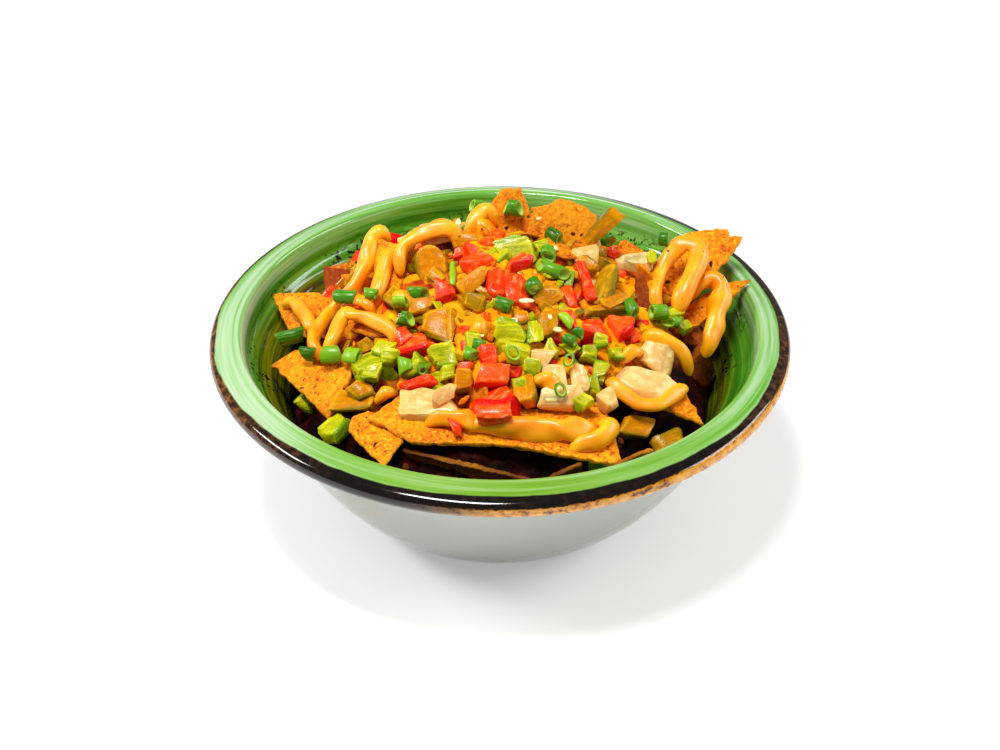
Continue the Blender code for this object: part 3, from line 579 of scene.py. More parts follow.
def chip_skin(points, triangles, seed, dark, soaked):
    """A bowed slab: rings shrink from the outline to the middle, height is the quadratic
    w = a + bu + cv + du2 + euv + fv2 fitted to the solid, plus and minus half the thickness."""
    shares = np.linspace(0.0, 1.0, CHIP_SAMPLES)[None, :, None]
    edges = np.vstack([triangles[:, [0, 1]], triangles[:, [1, 2]], triangles[:, [2, 0]]])
    samples = (points[edges[:, :1]] * (1.0 - shares) + points[edges[:, 1:]] * shares).reshape(-1, 3)
    _, _, axes = np.linalg.svd(samples - samples.mean(axis=0), full_matrices=False)
    if np.linalg.det(axes) < 0.0:
        axes[2] *= -1.0
    middle = samples.mean(axis=0)
    u, v, w = ((samples - middle) @ axes.T).T
    terms = np.stack([np.ones_like(u), u, v, u * u, u * v, v * v], axis=1)
    bow = np.linalg.lstsq(terms, w, rcond=None)[0]
    outline = star_outline(((points - middle) @ axes.T)[:, :2], triangles)
    closed = np.vstack([outline, outline[:1]])
    length = measured(closed)
    columns = int(np.clip(length[-1] / CHIP_SPACING, 40, 300))
    places = np.arange(columns) * length[-1] / columns
    outline = placed(places, length, closed)
    forward = np.roll(outline, -1, axis=0) - np.roll(outline, 1, axis=0)
    outward = unit(np.stack([forward[:, 1], -forward[:, 0]], axis=1))
    flat = np.concatenate([outline, np.zeros((columns, 1))], axis=1)
    wander = ripple(flat, 4.0, seed) + 0.7 * ripple(flat, 1.9, seed + 1)
    outline = outline + outward * (EDGE_WANDER * (wander - 0.7))[:, None]
    reach = np.linalg.norm(outline, axis=1).max()
    rows = int(np.clip(reach / CHIP_SPACING, 10, 60))
    shares = 1.0 - np.linspace(1.0, 0.0, rows + 1)[1:] ** 1.15
    inset = (1.0 - shares) * np.linalg.norm(outline, axis=1).mean()
    edge = np.sqrt(np.clip(1.0 - (1.0 - np.clip(inset / CHIP_HALF, 0.0, 1.0)) ** 2, 0.0, 1.0))
    sheets, depth = [], []
    for side, order in ((1.0, slice(None)), (-1.0, slice(-2, None, -1))):
        spread = shares[order][:, None, None] * outline
        local = np.concatenate([spread, np.full_like(spread[..., :1], side)], axis=-1)
        lift = BLISTER * np.maximum(ripple(local, BLISTER_SIZE, seed + 2), -0.5)
        lift += 0.10 * ripple(local, 2.1, seed + 7)
        u, v = spread[..., 0], spread[..., 1]
        height = bow[0] + bow[1] * u + bow[2] * v + bow[3] * u * u + bow[4] * u * v + bow[5] * v * v
        height = height + side * (CHIP_HALF + lift) * edge[order][:, None]
        sheets.append(np.concatenate([spread, height[..., None]], axis=-1))
        depth.append(np.repeat(inset[order], columns))
    grid = np.concatenate(sheets) @ axes + middle
    poles = [middle + (bow[0] + side * CHIP_HALF) * axes[2] for side in (1.0, -1.0)]
    inside = np.concatenate([[CHIP_MIDDLE], *depth, [CHIP_MIDDLE]])
    marks = np.stack([inside, np.full_like(inside, dark), np.full_like(inside, soaked)], axis=1)
    return np.vstack([poles[0], grid.reshape(-1, 3), poles[1]]), skin_faces(len(grid), columns), marks


for number, name in enumerate(sorted(name for name in nodes if name.startswith("chip_"))):
    points, faces, marks = chip_skin(*node_shape(name), 100 + 20 * number,
                                     FRIED_DARK.get(name, FRIED_BY_DEFAULT), SOAKED.get(name, 0.0))
    chip = lay_mesh("tortilla_" + name[5:], points, faces, corn, [("fried", marks)])
    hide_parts(name)


# ---------------------------------------------------------------- ropes of cheese sauce
# Warm cheese sauce from a squeeze bottle: round, smooth and glossy, thicker where the hand slowed,
# with its ends sunk into the heap.

ROPE_COLUMNS = 26
ROPE_SPACING = 0.9       # between its rings
ROPE_CURVE_STEPS = 12    # between two points of a route
FOLD_DEPTH = 0.12        # how far the two lobes of a folded rope stand out
SLUMP = 0.94             # a rope's size against the room its solid has
SKIRT = 0.16             # how much wider a rope is where it rests than on top
END_LENGTH = 1.6         # an end is rounded off over this many radii
SINK_LENGTH = 2.6        # and goes down into the heap over this many
SINK_DEPTH = 1.1         # by this many
POLE_OUT = 0.1           # its two end points stand out by this
RIM_LEVEL = np.array((0.0, 0.0, RIM_HEIGHT))
ROPES = {                # the route along its middle, and its radius
    "sauce_left_long": ((
        (-38, 26, 25), (-41.5, 26, 26.5), (-44.5, 24, 23), (-46.5, 17, 18.5), (-51, 9, 13),
        (-58, 3, 7.5), (-63, -6, 5.5), (-63, -14, 4.5), (-59, -17.5, 5)), 2.8),
    "sauce_left_short": ((
        (-37.5, 21, 24), (-39, 15, 21.5), (-40.5, 8, 18), (-43, -1, 15)), 2.9),
    "sauce_left_cross": ((
        (-59.5, -19, 4), (-56, -13, 8.5), (-53, -5.5, 12), (-49, -8, 13), (-43, -13, 14.5),
        (-36.5, -20, 15), (-35.5, -22.5, 12)), 2.6),
    "sauce_left_chip": ((
        (-76, 18, 3), (-71, 13.5, 4), (-67, 5, 4.5), (-64, -3, 4)), 2.6),
    "sauce_back_left": ((
        (-34, 8, 22), (-34, 15, 25), (-29, 18.5, 28), (-22.5, 20, 30), (-16.5, 20.5, 30),
        (-13.5, 18, 28)), 2.9),
    "sauce_back": ((
        (-11, 24, 25), (-8, 29.5, 29), (-4.5, 32, 31), (0, 29.5, 29)), 3.2),
    "sauce_right_loop": ((
        (52.2, 1, 11), (54.5, 15, 14), (59.5, 22.5, 19), (64.5, 25, 21.5), (69, 22, 20.5),
        (67.5, 15, 17), (63.5, 8, 13), (60.3, 2, 11)), 3.4),
    "sauce_right_hook": ((
        (63.5, 12, 9.5), (68, 16, 11), (74, 17, 11.5), (77, 13, 9.5), (75, 6, 7), (73.5, -2, 4),
        (70, -9, 0.5)), 3.7),
    "sauce_right_band": ((
        (47.5, -14, 12), (54, -18, 10), (61, -20, 6.5), (64.5, -21, 1)), 3.4),
    "sauce_right_low": ((
        (36.5, -32, 6), (38.5, -37.5, 4), (45, -40.8, 0.3), (51.5, -41, -0.8), (57, -36.8, -0.2),
        (62.5, -29.5, 0.5)), 2.4),
    "sauce_behind": ((
        (-34, 44, 11), (-22, 52, 9), (-8, 49, 12), (4, 57, 9), (15, 50, 11), (27, 44, 12),
        (36, 34, 12)), 3.6),
    "sauce_front": ((
        (-13, -51, 1.5), (-3, -54, 0.5), (6.5, -55.5, 0), (17, -56, -0.5), (26, -55, -0.5),
        (33, -54, -2)), 4.2),
}
SHORT_RUNS = (           # without a solid of their own
    (((9.5, -37.5, 10), (16, -40, 8.5), (22, -42.5, 6.5)), 3.6),
    (((-54.5, 1.5, 10.5), (-50.5, 1, 13.5), (-45.5, -3, 15), (-42.5, -5.5, 14)), 2.6),
    (((33, -50, 3), (36, -55, 0), (31, -60, -2), (22, -60, -2)), 3.4),
    (((-10.5, -21, 18.5), (-6.7, -21, 19.5), (-3, -21, 18.5)), 4.6),
    (((-42, -38.5, 1), (-38, -38, 3), (-34, -36, 4)), 3.4),
    (((10, 1.5, 25), (13.5, 2.5, 24.5)), 2.4),
    (((40, -27.5, 9.5), (44, -25, 10), (48.5, -22, 9)), 2.6),
    (((-36, 2, 17.5), (-33, -3, 17.5), (-27, -7, 17.5)), 3.6),
    (((-25, 8, 22), (-21, 3, 21.5), (-19, -3, 20)), 3.4),
    (((-25, -50, 1.5), (-18, -52.5, 2), (-10, -54, 2.5), (-6, -55, 3)), 3.0),
    (((-27, 22, 26), (-20, 26, 27.5), (-12, 23, 27)), 3.4),
    (((-9.5, 25.5, 25.5), (-5.5, 28, 28.5), (-1.5, 29.5, 29.5)), 4.2),
)

# Cheese sauce: milky and soft-edged, so light passes through thin parts, with a satin skin
cheese, tree, shader = new_material("cheese_sauce", {
    "Subsurface Weight": 0.30, "Subsurface Scale": 0.003, "Subsurface Radius": (1.0, 0.45, 0.08),
    "Roughness": 0.38, "Coat Weight": 0.15, "Coat Roughness": 0.18})
where = add(tree, "TexCoord", out="Object")
cloud = add(tree, "TexNoise", {"Vector": where, "Scale": 110.0, "Detail": 3.0})
colour = add(tree, "ValToRGB", {0: cloud},
             ramp=[(0.36, "#fc9400"), (0.52, "#fda503"), (0.68, "#ffb60e")])
speck = add(tree, "TexNoise", {"Vector": where, "Scale": 420.0, "Detail": 1.0})
speck = add(tree, "MapRange", (speck, 0.765, 0.79))
colour = add(tree, "Mix", {0: speck, 6: colour, 7: "#5a2206"}, **BLEND)
skinned = add(tree, "TexNoise", {"Vector": where, "Scale": 330.0, "Detail": 2.0})
finish(tree, shader, colour, skinned, 0.15, 0.0004)


def rope(route, radius, seed):
    """A tube on a Catmull-Rom curve.  Its radius swells by slow waves, and is rounded off to
    nothing at each end, which also sinks.  Its section is
    r(t) = 1 + f cos(2 (t + twist)) - 0.6 f |sin(1.5 t + twist)|, two lobes and a crease that
    wander along it, and it is wider below by 1 - skirt sin(t)."""
    route = np.array(route, float) + RIM_LEVEL
    ends = np.vstack([2 * route[0] - route[1], route, 2 * route[-1] - route[-2]])
    path = []
    for a, b, c, d in zip(ends, ends[1:], ends[2:], ends[3:]):
        t = np.linspace(0.0, 1.0, ROPE_CURVE_STEPS, endpoint=False)[:, None]
        path.append(0.5 * (2 * b + (c - a) * t + (2 * a - 5 * b + 4 * c - d) * t ** 2
                           + (3 * b - a - 3 * c + d) * t ** 3))
    path = np.vstack(path + [route[-1:]])
    length = measured(path)
    count = max(int(length[-1] / ROPE_SPACING), 8)
    places = np.linspace(0.0, length[-1], count)
    path = placed(places, length, path)
    along = unit(np.gradient(path, axis=0))
    side = unit(np.cross(along, (0.0, 0.0, 1.0)))
    above = np.cross(side, along)
    swell = 0.07 * ripple(path, 18.0, seed) + 0.02 * ripple(path, 7.0, seed + 1)
    size = SLUMP * radius * (1.0 + swell)
    near = np.minimum(places, places[-1] - places) / radius
    size *= np.sqrt(1.0 - (1.0 - np.clip(near / END_LENGTH, 0.01, 1.0)) ** 2)
    path[:, 2] -= SINK_DEPTH * radius * (1.0 - np.clip(near / SINK_LENGTH, 0.0, 1.0)) ** 2
    turns = np.arange(ROPE_COLUMNS) * 2.0 * math.pi / ROPE_COLUMNS
    twist = 1.3 * ripple(path, 26.0, seed + 3)
    folds = 1.0 + FOLD_DEPTH * np.cos(2.0 * (turns + twist[:, None]))
    folds -= 0.6 * FOLD_DEPTH * np.abs(np.sin(1.5 * turns + twist[:, None]))
    spread = np.cos(turns) * (1.0 - SKIRT * np.sin(turns))
    ring = side[:, None] * spread[:, None] + above[:, None] * np.sin(turns)[:, None]
    grid = path[:, None] + ring * (size[:, None] * folds)[..., None]
    grid += ring * (0.12 * ripple(grid, 7.0, seed + 2))[..., None] * (size / radius)[:, None, None]
    first, last = path[0] - along[0] * POLE_OUT, path[-1] + along[-1] * POLE_OUT
    return np.vstack([[first], grid.reshape(-1, 3), [last]]), skin_faces(count, ROPE_COLUMNS)


for number, (name, (route, radius)) in enumerate(ROPES.items()):
    points, faces = rope(route, radius, 700 + 5 * number)
    piece = lay_mesh("cheese_" + name[6:], points, faces, cheese)
    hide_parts(name)
for number, (route, radius) in enumerate(SHORT_RUNS, 1):
    points, faces = rope(route, radius, 800 + 5 * number)
    lay_mesh(f"cheese_short_{number}", points, faces, cheese)


# ---------------------------------------------------------------- cut toppings
# Knife-cut pieces with nearly flat faces and crisp edges.  Chicken is cream and fibrous, pickle
# amber and half clear, tomato red outside and paler where it is cut, pepper a wet yellow-green.

LARGE_ROWS, LARGE_COLUMNS = 26, 44     # points of a placed piece, and of a loose one
SMALL_ROWS, SMALL_COLUMNS = 4, 8
CUT_POWER = 8.0          # how square a cut piece is: 2 is an egg, 20 a sharp box
SLANT_CUTS = 10          # knife cuts at a slant on each piece
SLANT_REACH = (0.74, 1.25)             # how far out they lie, against the piece's half size
UNEVEN = (0.3, 0.35, 0.12, 0.3)        # most that a piece tapers, leans, arches and skews
RIB_SPACING = 1.7        # between the ribs of celery and pepper
FLIPPED = 0.3            # share of the pieces with their skin on the other side
KEEP_CLEAR = 0.72        # of a placed piece's extent, that loose pieces keep out of
CHICKEN = (              # one end, the other end, width, thickness, turn about its length
    ((40.5, 20, 14.5), (54.5, 20, 15), 9, 7, -50), ((40, -31, 6.3), (56.5, -36, -0.5), 14, 6, -12),
    ((49, -17, 7), (58.5, -20.5, 2), 8, 6, -10), ((-33, -42, 1.5), (-14, -48, 2.5), 12, 5, -10),
    ((17, -33, 8.5), (18, -46.5, 2.5), 8, 5, 0), ((24.5, 16, 20.5), (34, 16, 20.5), 9, 8, -40))
PICKLE = (
    ((-16.5, 19, 24.5), (-5.5, 19, 25.5), 9, 6, -45),
    ((-26, -15, 14), (-14.5, -18, 15), 12, 4.5, -32),
    ((-56, -36, -4), (-41, -38, -1), 10, 4, -15), ((41, 23.5, 35), (28, 21, 21), 6, 2.6, 56),
    ((38, 10, 23), (35, -7, 16), 9, 5, -20), ((9, -36.5, 7.5), (8.5, -47.5, 3), 9, 6.5, 0),
    ((51, -49.5, -12.5), (61.5, -44.5, -12), 8, 5, -25))
TOMATO = (
    ((-12, 3, 24), (-3, 9.5, 26), 6, 5, 0), ((-1, 5, 24.5), (-1, -9, 20.5), 7, 7, 0),
    ((5.5, 0, 22.5), (5.5, -12, 19.5), 9, 8, 0), ((-38, -22, 6), (-23.5, -23, 10), 10, 9, 0),
    ((-9, -47, 0.5), (5.5, -44, 1.5), 12, 10, 10), ((25.5, -19, 11), (38, -15.5, 10), 11, 9, 0))
PEPPER = (
    ((-49, -27.5, 0.5), (-36, -26, 5), 12, 8, 0), ((-57.5, -48.5, -9.5), (-51, -41, -7.5), 8, 6, 15),
    ((-2, -26, 12), (10, -27, 11), 9, 7, 0))

# Further pieces that lie on those above or in the gaps between them
MORE_CHICKEN = (
    ((-28, 24, 25), (-17, 24, 27), 8, 6, -40), ((-23, -49.5, 6.5), (-14, -43, 7.5), 5, 2.5, -50),
    ((25.5, -34, 10), (26.5, -42, 5.5), 5.5, 3.5, 0),
    ((13, -44.5, 4.5), (27, -45.5, 4.5), 8.5, 3, -48),
    ((33.5, -39, 4), (37.5, -46, 1), 7, 5, 0), ((46.5, -22.5, 9), (58, -24.5, 4.5), 10, 5.5, -40),
    ((43, 19.5, 17), (53, 17.5, 18), 4, 3, -20), ((-34, 21, 22), (-29, 23, 24), 5, 4, -30),
    ((10, -30, 12), (17, -33, 10.5), 7, 3, -50))
MORE_PICKLE = (
    ((-13.5, -6.5, 21.5), (-5, 1, 25), 6.5, 4.5, -45), ((16, -14, 19.5), (16, -24, 14.5), 8.5, 5, 0),
    ((-12.5, -10, 20.5), (-5, -12, 20), 6, 5, -40), ((4.5, -17.5, 19), (9, -17, 18.5), 6, 4, -40),
    ((28.5, -12, 17), (45, -3.5, 13.5), 4, 3.5, -20), ((34, -9, 18), (43, -1, 16), 5, 2.5, -30),
    ((-15, -39.5, 7.5), (-8.5, -40, 7.5), 8, 5, -50), ((40, -44, -7), (50, -42.5, -10.5), 8, 5, -40),
    ((-38, 1, 16), (-32, -7, 15.5), 7, 4, -20), ((-30, -8, 16.5), (-22, -9, 17.5), 7, 5, -40),
    ((-42, -18, 9), (-37, -24, 9), 6, 4, -30), ((27, 9, 23), (33, 6, 22), 6, 4, -40),
    ((-24, 4, 22.5), (-19, -1, 21.5), 5, 4, -40), ((1, 17, 27), (8, 18, 27), 6, 4, -30),
    ((-50, -37, 0), (-43, -35, 3), 7, 5, -30))
MORE_TOMATO = (
    ((-16, 11, 25), (-12, 10.5, 26), 4, 3.5, -40),
    ((-21.5, -4.5, 19.5), (-14.5, -6.5, 20.5), 8, 7, -35), ((3, 1.5, 26.5), (11, 8, 26.5), 5, 4, 0),
    ((27.5, 8.5, 23), (30.5, -7, 18.5), 4, 3.5, 0),
    ((22, -3, 21), (25, -10, 18), 4, 3, 0), ((19.5, -15.5, 17), (25.5, -16, 16), 6.5, 5, -40),
    ((38, -15, 12), (45, -11, 11), 8, 7, -20), ((-33.5, -38, 3.5), (-21, -37.5, 7), 4, 3.5, -30),
    ((-14, -34, 9.5), (-9.5, -35, 9.8), 5, 4, -40),
    ((-7.5, -30.5, 12), (-1, -31, 12.5), 7.5, 6.5, -45),
    ((-9, -37.5, 7.5), (3, -37, 7.5), 8, 7.5, -45), ((-15, -54, 3.5), (-14, -58.5, -1.5), 4, 3, -20),
    ((-19, 2, 21.5), (-18, -6, 20), 5, 5, 0), ((-36, -24, 11), (-31, -19, 13), 6, 5, -30),
    ((-8, -55.5, 5.5), (3.5, -54.5, 6), 9.5, 6.5, -35))
MORE_PEPPER = (
    ((-1, 11.5, 26.5), (11, 12, 28), 10, 3, -48), ((-2, -22.5, 16), (9, -23, 16), 9.5, 6, -45),
    ((11.5, -19.5, 17.5), (11.5, -27, 14), 5.5, 4, 0), ((-41, -21, 8.5), (-36, -26, 9.5), 7, 5, -40),
    ((-24, -29.5, 9.5), (-14.5, -30, 11), 8.5, 7, -45), ((8, -35, 10), (13.5, -36, 9.5), 6, 5, -45),
    ((24, -44, 4.5), (29, -49, 4), 6, 3.5, -30), ((27, -28, 10.5), (32.5, -27.5, 10), 5.5, 5, -40),
    ((30.5, -32, 7.5), (36, -31, 7), 5.5, 4, -40),
    ((36.5, -26, 9.5), (41.5, -24.5, 8.5), 5.5, 5, -30),
    ((28, -39, 5), (33, -38, 4), 7, 5, -40), ((57.5, 0, 8.5), (62, 5, 6), 5, 4, -30),
    ((61, -4, 4.5), (65, 0, 4), 4, 3, -30), ((52.5, 18.5, 22.5), (52.8, 14.5, 19.5), 4, 3, 0),
    ((-2.5, -12, 20.5), (1, -14, 20.5), 3.5, 3, -40), ((12, 14, 25.5), (18, 16, 25), 6, 4, -40),
    ((-12, -25, 13.5), (-6, -26, 13.5), 7, 5, -45), ((15, 0, 23.5), (20, 5, 23.5), 5, 4, -35),
    ((-46, -33, 6.5), (-40, -34, 7), 6, 4, -30), ((-40, -28.5, 10), (-34, -30, 9.5), 6.5, 4, -50),
    ((-33, -33, 6.5), (-27, -32, 7.5), 6, 4.5, -40), ((-29, -28, 9.5), (-25, -33, 8), 5, 3.5, -20),
    ((15, -27, 13), (19, -31, 11.5), 5.5, 3.5, -45), ((22, -24, 13), (26, -29, 11), 4.5, 3.5, -30),
    ((4, -41, 8), (9, -42, 7.5), 5, 3, -40), ((-20, -36, 8.5), (-15, -36, 9), 5, 3.5, -45),
    ((31, -23, 12.5), (36, -22.5, 12), 4.5, 3.5, -40),
    ((-67, -27, -12.5), (-64, -22, -12), 8, 3, -50))

# Slices that keep the round of the gherkin: axis from back to front, then width and height
ROUND_PICKLE = (
    ((-23.75, 12.0, 20.2), (-23.75, 8.0, 23.3), 12.5, 12.5, 0),
    ((16.2, -6.5, 19.5), (16.2, -9.2, 21.5), 8.6, 8.0, 0))


def blocks(table, seed, rows, columns, power=CUT_POWER, rounded=False, rib=0.0):
    """Many cut pieces at once.  Each is a superellipsoid, |a| ** p + |b| ** p + |c| ** p = 1, between
    its two ends, sliced flat by planes p . n = t at random slants, then tapered, leaned, arched and
    rippled by amounts drawn for each piece, with ribs that stand out by `rib`.
    Gives the points, and for the finish: edge and skin shares, place on the piece, and its tone."""
    draw = np.random.default_rng(seed)
    starts, ends, widths, thicks, turns = (np.array(column, float) for column in zip(*table))
    count = len(starts)
    length = np.linalg.norm(ends - starts, axis=1)
    along = (ends - starts) / length[:, None]
    side = unit(np.cross(along, (0.0, 0.0, 1.0)))
    above = np.cross(side, along)
    angle = np.radians(turns)[:, None]
    side, above = (side * np.cos(angle) + above * np.sin(angle),
                   above * np.cos(angle) - side * np.sin(angle))
    latitude = (np.arange(rows) + 1.0) / (rows + 1.0) * math.pi - math.pi / 2.0
    longitude = (np.arange(columns) + 0.5) * 2.0 * math.pi / columns
    square = 2.0 / power
    circle = 1.0 if rounded else square
    across = np.sign(np.cos(longitude)) * np.abs(np.cos(longitude)) ** circle
    upward = np.sign(np.sin(longitude)) * np.abs(np.sin(longitude)) ** circle
    a = np.repeat(np.sign(latitude) * np.abs(np.sin(latitude)) ** square, columns)
    shrink = np.repeat(np.cos(latitude) ** square, columns)
    plain = np.stack([a, shrink * np.tile(across, rows), shrink * np.tile(upward, rows)], axis=1)
    plain = np.vstack([[(-1.0, 0.0, 0.0)], plain, [(1.0, 0.0, 0.0)]])
    taper, lean, arch, skew = draw.uniform(-1.0, 1.0, (4, count, 1)) * np.reshape(UNEVEN, (4, 1, 1))
    shaped = np.broadcast_to(plain, (count, *plain.shape))
    for _ in range(0 if rounded else SLANT_CUTS):
        way = unit(draw.normal(size=(count, 1, 3)))
        over = (shaped * way).sum(axis=-1) - draw.uniform(*SLANT_REACH, (count, 1))
        shaped = shaped - way * np.maximum(over, 0.0)[..., None]
    half = 0.5 * np.stack([length, widths, thicks], axis=1)[:, None]
    local = shaped * half
    u = local[..., 0] + lean * local[..., 1]
    v = local[..., 1] * (1.0 + taper * plain[:, 0]) + skew * local[..., 2]
    w = local[..., 2] * (1.0 - taper * plain[:, 0]) + arch * half[..., 2] * plain[:, 0] ** 2
    middle = 0.5 * (starts + ends)
    points = (middle[:, None] + u[..., None] * along[:, None] + v[..., None] * side[:, None]
              + w[..., None] * above[:, None])
    outward = unit(points - middle[:, None])
    relief = 0.22 * ripple(points, 4.5, seed + 1) + 0.07 * ripple(points, 1.6, seed + 2)
    ribs = local[..., 1] * 2.0 * math.pi / RIB_SPACING + 2.0 * ripple(points, 9.0, seed + 3)
    relief += rib * np.cos(ribs)
    points += outward * relief[..., None]
    second = np.sort(np.abs(plain), axis=1)[:, 1]
    flip = np.where(draw.uniform(size=(count, 1)) < FLIPPED, -1.0, 1.0)
    cut = np.stack([np.broadcast_to(second, u.shape), plain[:, 1] * flip,
                    np.broadcast_to(plain[:, 2], u.shape)], axis=-1)
    tone = np.broadcast_to(draw.uniform(0.0, 1.0, (count, 1, 3)), points.shape)
    local = local + draw.uniform(-50.0, 50.0, (count, 1, 3))
    return points, (("cut", cut.reshape(-1, 3)), ("local", local.reshape(-1, 3)),
                    ("tone", tone.reshape(-1, 3)))


def lay_blocks(name, points, marks, rows, columns, material, smooth=True):
    """Many skins of the same grid as one mesh, one after another."""
    template = skin_faces(rows, columns)
    step = rows * columns + 2
    faces = [tuple(index + piece * step for index in face)
             for piece in range(len(points)) for face in template]
    return lay_mesh(name, points.reshape(-1, 3), faces, material, marks, smooth)


def cut_food(name, sockets, colours, fibre, bump, wet):
    """A cut vegetable or meat.  `colours` are flesh, its second tone, the streaks in it, the edge
    that light passes through, and the skin on one side.  `fibre` is streak spacing along, across
    and through the piece, in millimetres.  `wet` is the roughness of its wet and its dry patches."""
    made, tree, shader = new_material(name, sockets)
    flesh, second, streak, edge, skin = colours
    cut = add(tree, "Attribute", attribute_name="cut", out="Vector")
    edged, sided = add(tree, "SeparateXYZ", {0: cut}, out=(0, 1))
    tone = add(tree, "Attribute", attribute_name="tone", out="Vector")
    local = add(tree, "Attribute", attribute_name="local", out="Vector")
    drawn = add(tree, "VectorMath", (local, tuple(1.0 / size for size in fibre)),
                operation="MULTIPLY")
    lines = add(tree, "TexNoise", {"Vector": drawn, "Scale": 1.0, "Detail": 3.0})
    cloud = add(tree, "TexNoise", {"Vector": local, "Scale": 0.28, "Detail": 2.0})
    shade = add(tree, "MapRange", {0: add(tree, "SeparateXYZ", {0: tone}), 3: -0.25, 4: 0.25})
    shade = add(tree, "Math", (cloud, shade), operation="ADD")
    colour = flesh
    for part, least, most, share, over in (
            (shade, 0.30, 0.70, 1.0, second), (lines, 0.50, 0.68, 1.0, streak),
            (edged, 0.74, 0.97, 0.8, edge), (sided, 0.62, 0.92, 1.0, skin)):
        mask = add(tree, "MapRange", {0: part, 1: least, 2: most, 4: share})
        colour = add(tree, "Mix", {0: mask, 6: colour, 7: over}, **BLEND)
    juice = add(tree, "TexNoise", {"Vector": local, "Scale": 0.75, "Detail": 3.0})
    tree.links.new(add(tree, "MapRange", (juice, 0.40, 0.60, wet[0], wet[1])), shader["Roughness"])
    relief = add(tree, "Math", (juice, 1.2, lines), operation="MULTIPLY_ADD")
    finish(tree, shader, colour, relief, bump, 0.0007)
    return made


# Poached chicken: pale, with faint fibres 1.5 mm apart and a thin wet film over them
chicken_meat = cut_food(
    "poached_chicken",
    {"Subsurface Weight": 0.45, "Subsurface Scale": 0.005, "Specular IOR Level": 0.3,
     "Coat Weight": 0.2, "Coat Roughness": 0.15},
    ("#eac078", "#dda858", "#f2cf90", "#f0c470", "#e0ae5c"), (2.4, 1.5, 1.5), 0.24, (0.3, 0.5))
# The vegetables are all watery: light goes in a few millimetres, and juice lies on them
watery = {"Subsurface Weight": 0.35, "Subsurface Scale": 0.003, "Specular IOR Level": 0.15,
          "Coat IOR": 1.35}
# Pickled gherkin: half clear amber flesh, olive to orange, glassy with brine
gherkin = cut_food(
    "brined_gherkin",
    {**watery, "Subsurface Radius": (0.8, 0.7, 0.05), "Coat Weight": 0.14, "Coat Roughness": 0.06},
    ("#ca7600", "#a07800", "#d29000", "#e0a604", "#7e6600"), (4.5, 1.3, 1.3), 0.3, (0.15, 0.4))
# Ripe tomato: wet, with pink fibres in orange-red flesh, painted paler to stand for a wet sheen, and
# a glossy red skin
tomato_flesh = cut_food(
    "ripe_tomato",
    {**watery, "Subsurface Radius": (1.0, 0.25, 0.08), "Coat Weight": 0.35, "Coat Roughness": 0.08},
    ("#ee2c00", "#f65604", "#ff8048", "#f64c08", "#d00a00"), (3.5, 1.8, 1.8), 0.28, (0.18, 0.4))
# Green pepper and celery: crisp, with ribs 1.7 mm apart and watery edges, painted pale as light
# passing through
pepper_flesh = cut_food(
    "green_pepper",
    {**watery, "Subsurface Radius": (0.8, 1.0, 0.08), "Coat Weight": 0.4, "Coat Roughness": 0.1},
    ("#98a000", "#b4b002", "#d2cc1a", "#c8c40a", "#7a9c02"), (7.0, 1.2, 1.2), 0.4, (0.18, 0.4))


def raised(table):
    """A table with the two ends of each row raised to the level of the rim."""
    return [(np.add(start, RIM_LEVEL), np.add(end, RIM_LEVEL), *rest) for start, end, *rest in table]


def cut_pieces(name, table, kind, material, seed, rounded=(), rib=0.0):
    """The pieces with a solid of their own, and the further ones of their kind, as one mesh.
    Gives the middle and the size of each, which loose pieces keep clear of."""
    made, marks = [], []
    for group, is_round in ((table, False), (rounded, True)):
        if group:
            points, attributes = blocks(raised(group), seed, LARGE_ROWS, LARGE_COLUMNS,
                                        rounded=is_round, rib=rib)
            made.append(points)
            marks.append(attributes)
    joined = [(key, np.vstack([group[place][1] for group in marks])) for place, (key, _) in
              enumerate(marks[0])]
    points = np.concatenate(made)
    piece = lay_blocks(name, points, joined, LARGE_ROWS, LARGE_COLUMNS, material)
    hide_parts(*sorted(node for node in nodes if node.startswith(kind + "_")))
    return [np.append(own.mean(axis=0), KEEP_CLEAR * np.ptp(own, axis=0).mean()) for own in points]


taken = (cut_pieces("chicken_pieces", CHICKEN + MORE_CHICKEN, "chicken", chicken_meat, 21)
         + cut_pieces("gherkin_pieces", PICKLE + MORE_PICKLE, "pickle", gherkin, 12, ROUND_PICKLE)
         + cut_pieces("tomato_pieces", TOMATO + MORE_TOMATO, "tomato", tomato_flesh, 13)
         + cut_pieces("pepper_pieces", PEPPER + MORE_PEPPER, "pepper", pepper_flesh, 14, rib=0.16))


# ---------------------------------------------------------------- spring onion
# Hollow green leaves cut across into rings and short tubes, about 5 mm wide with a 0.9 mm wall,
# mostly pressed a little flat.

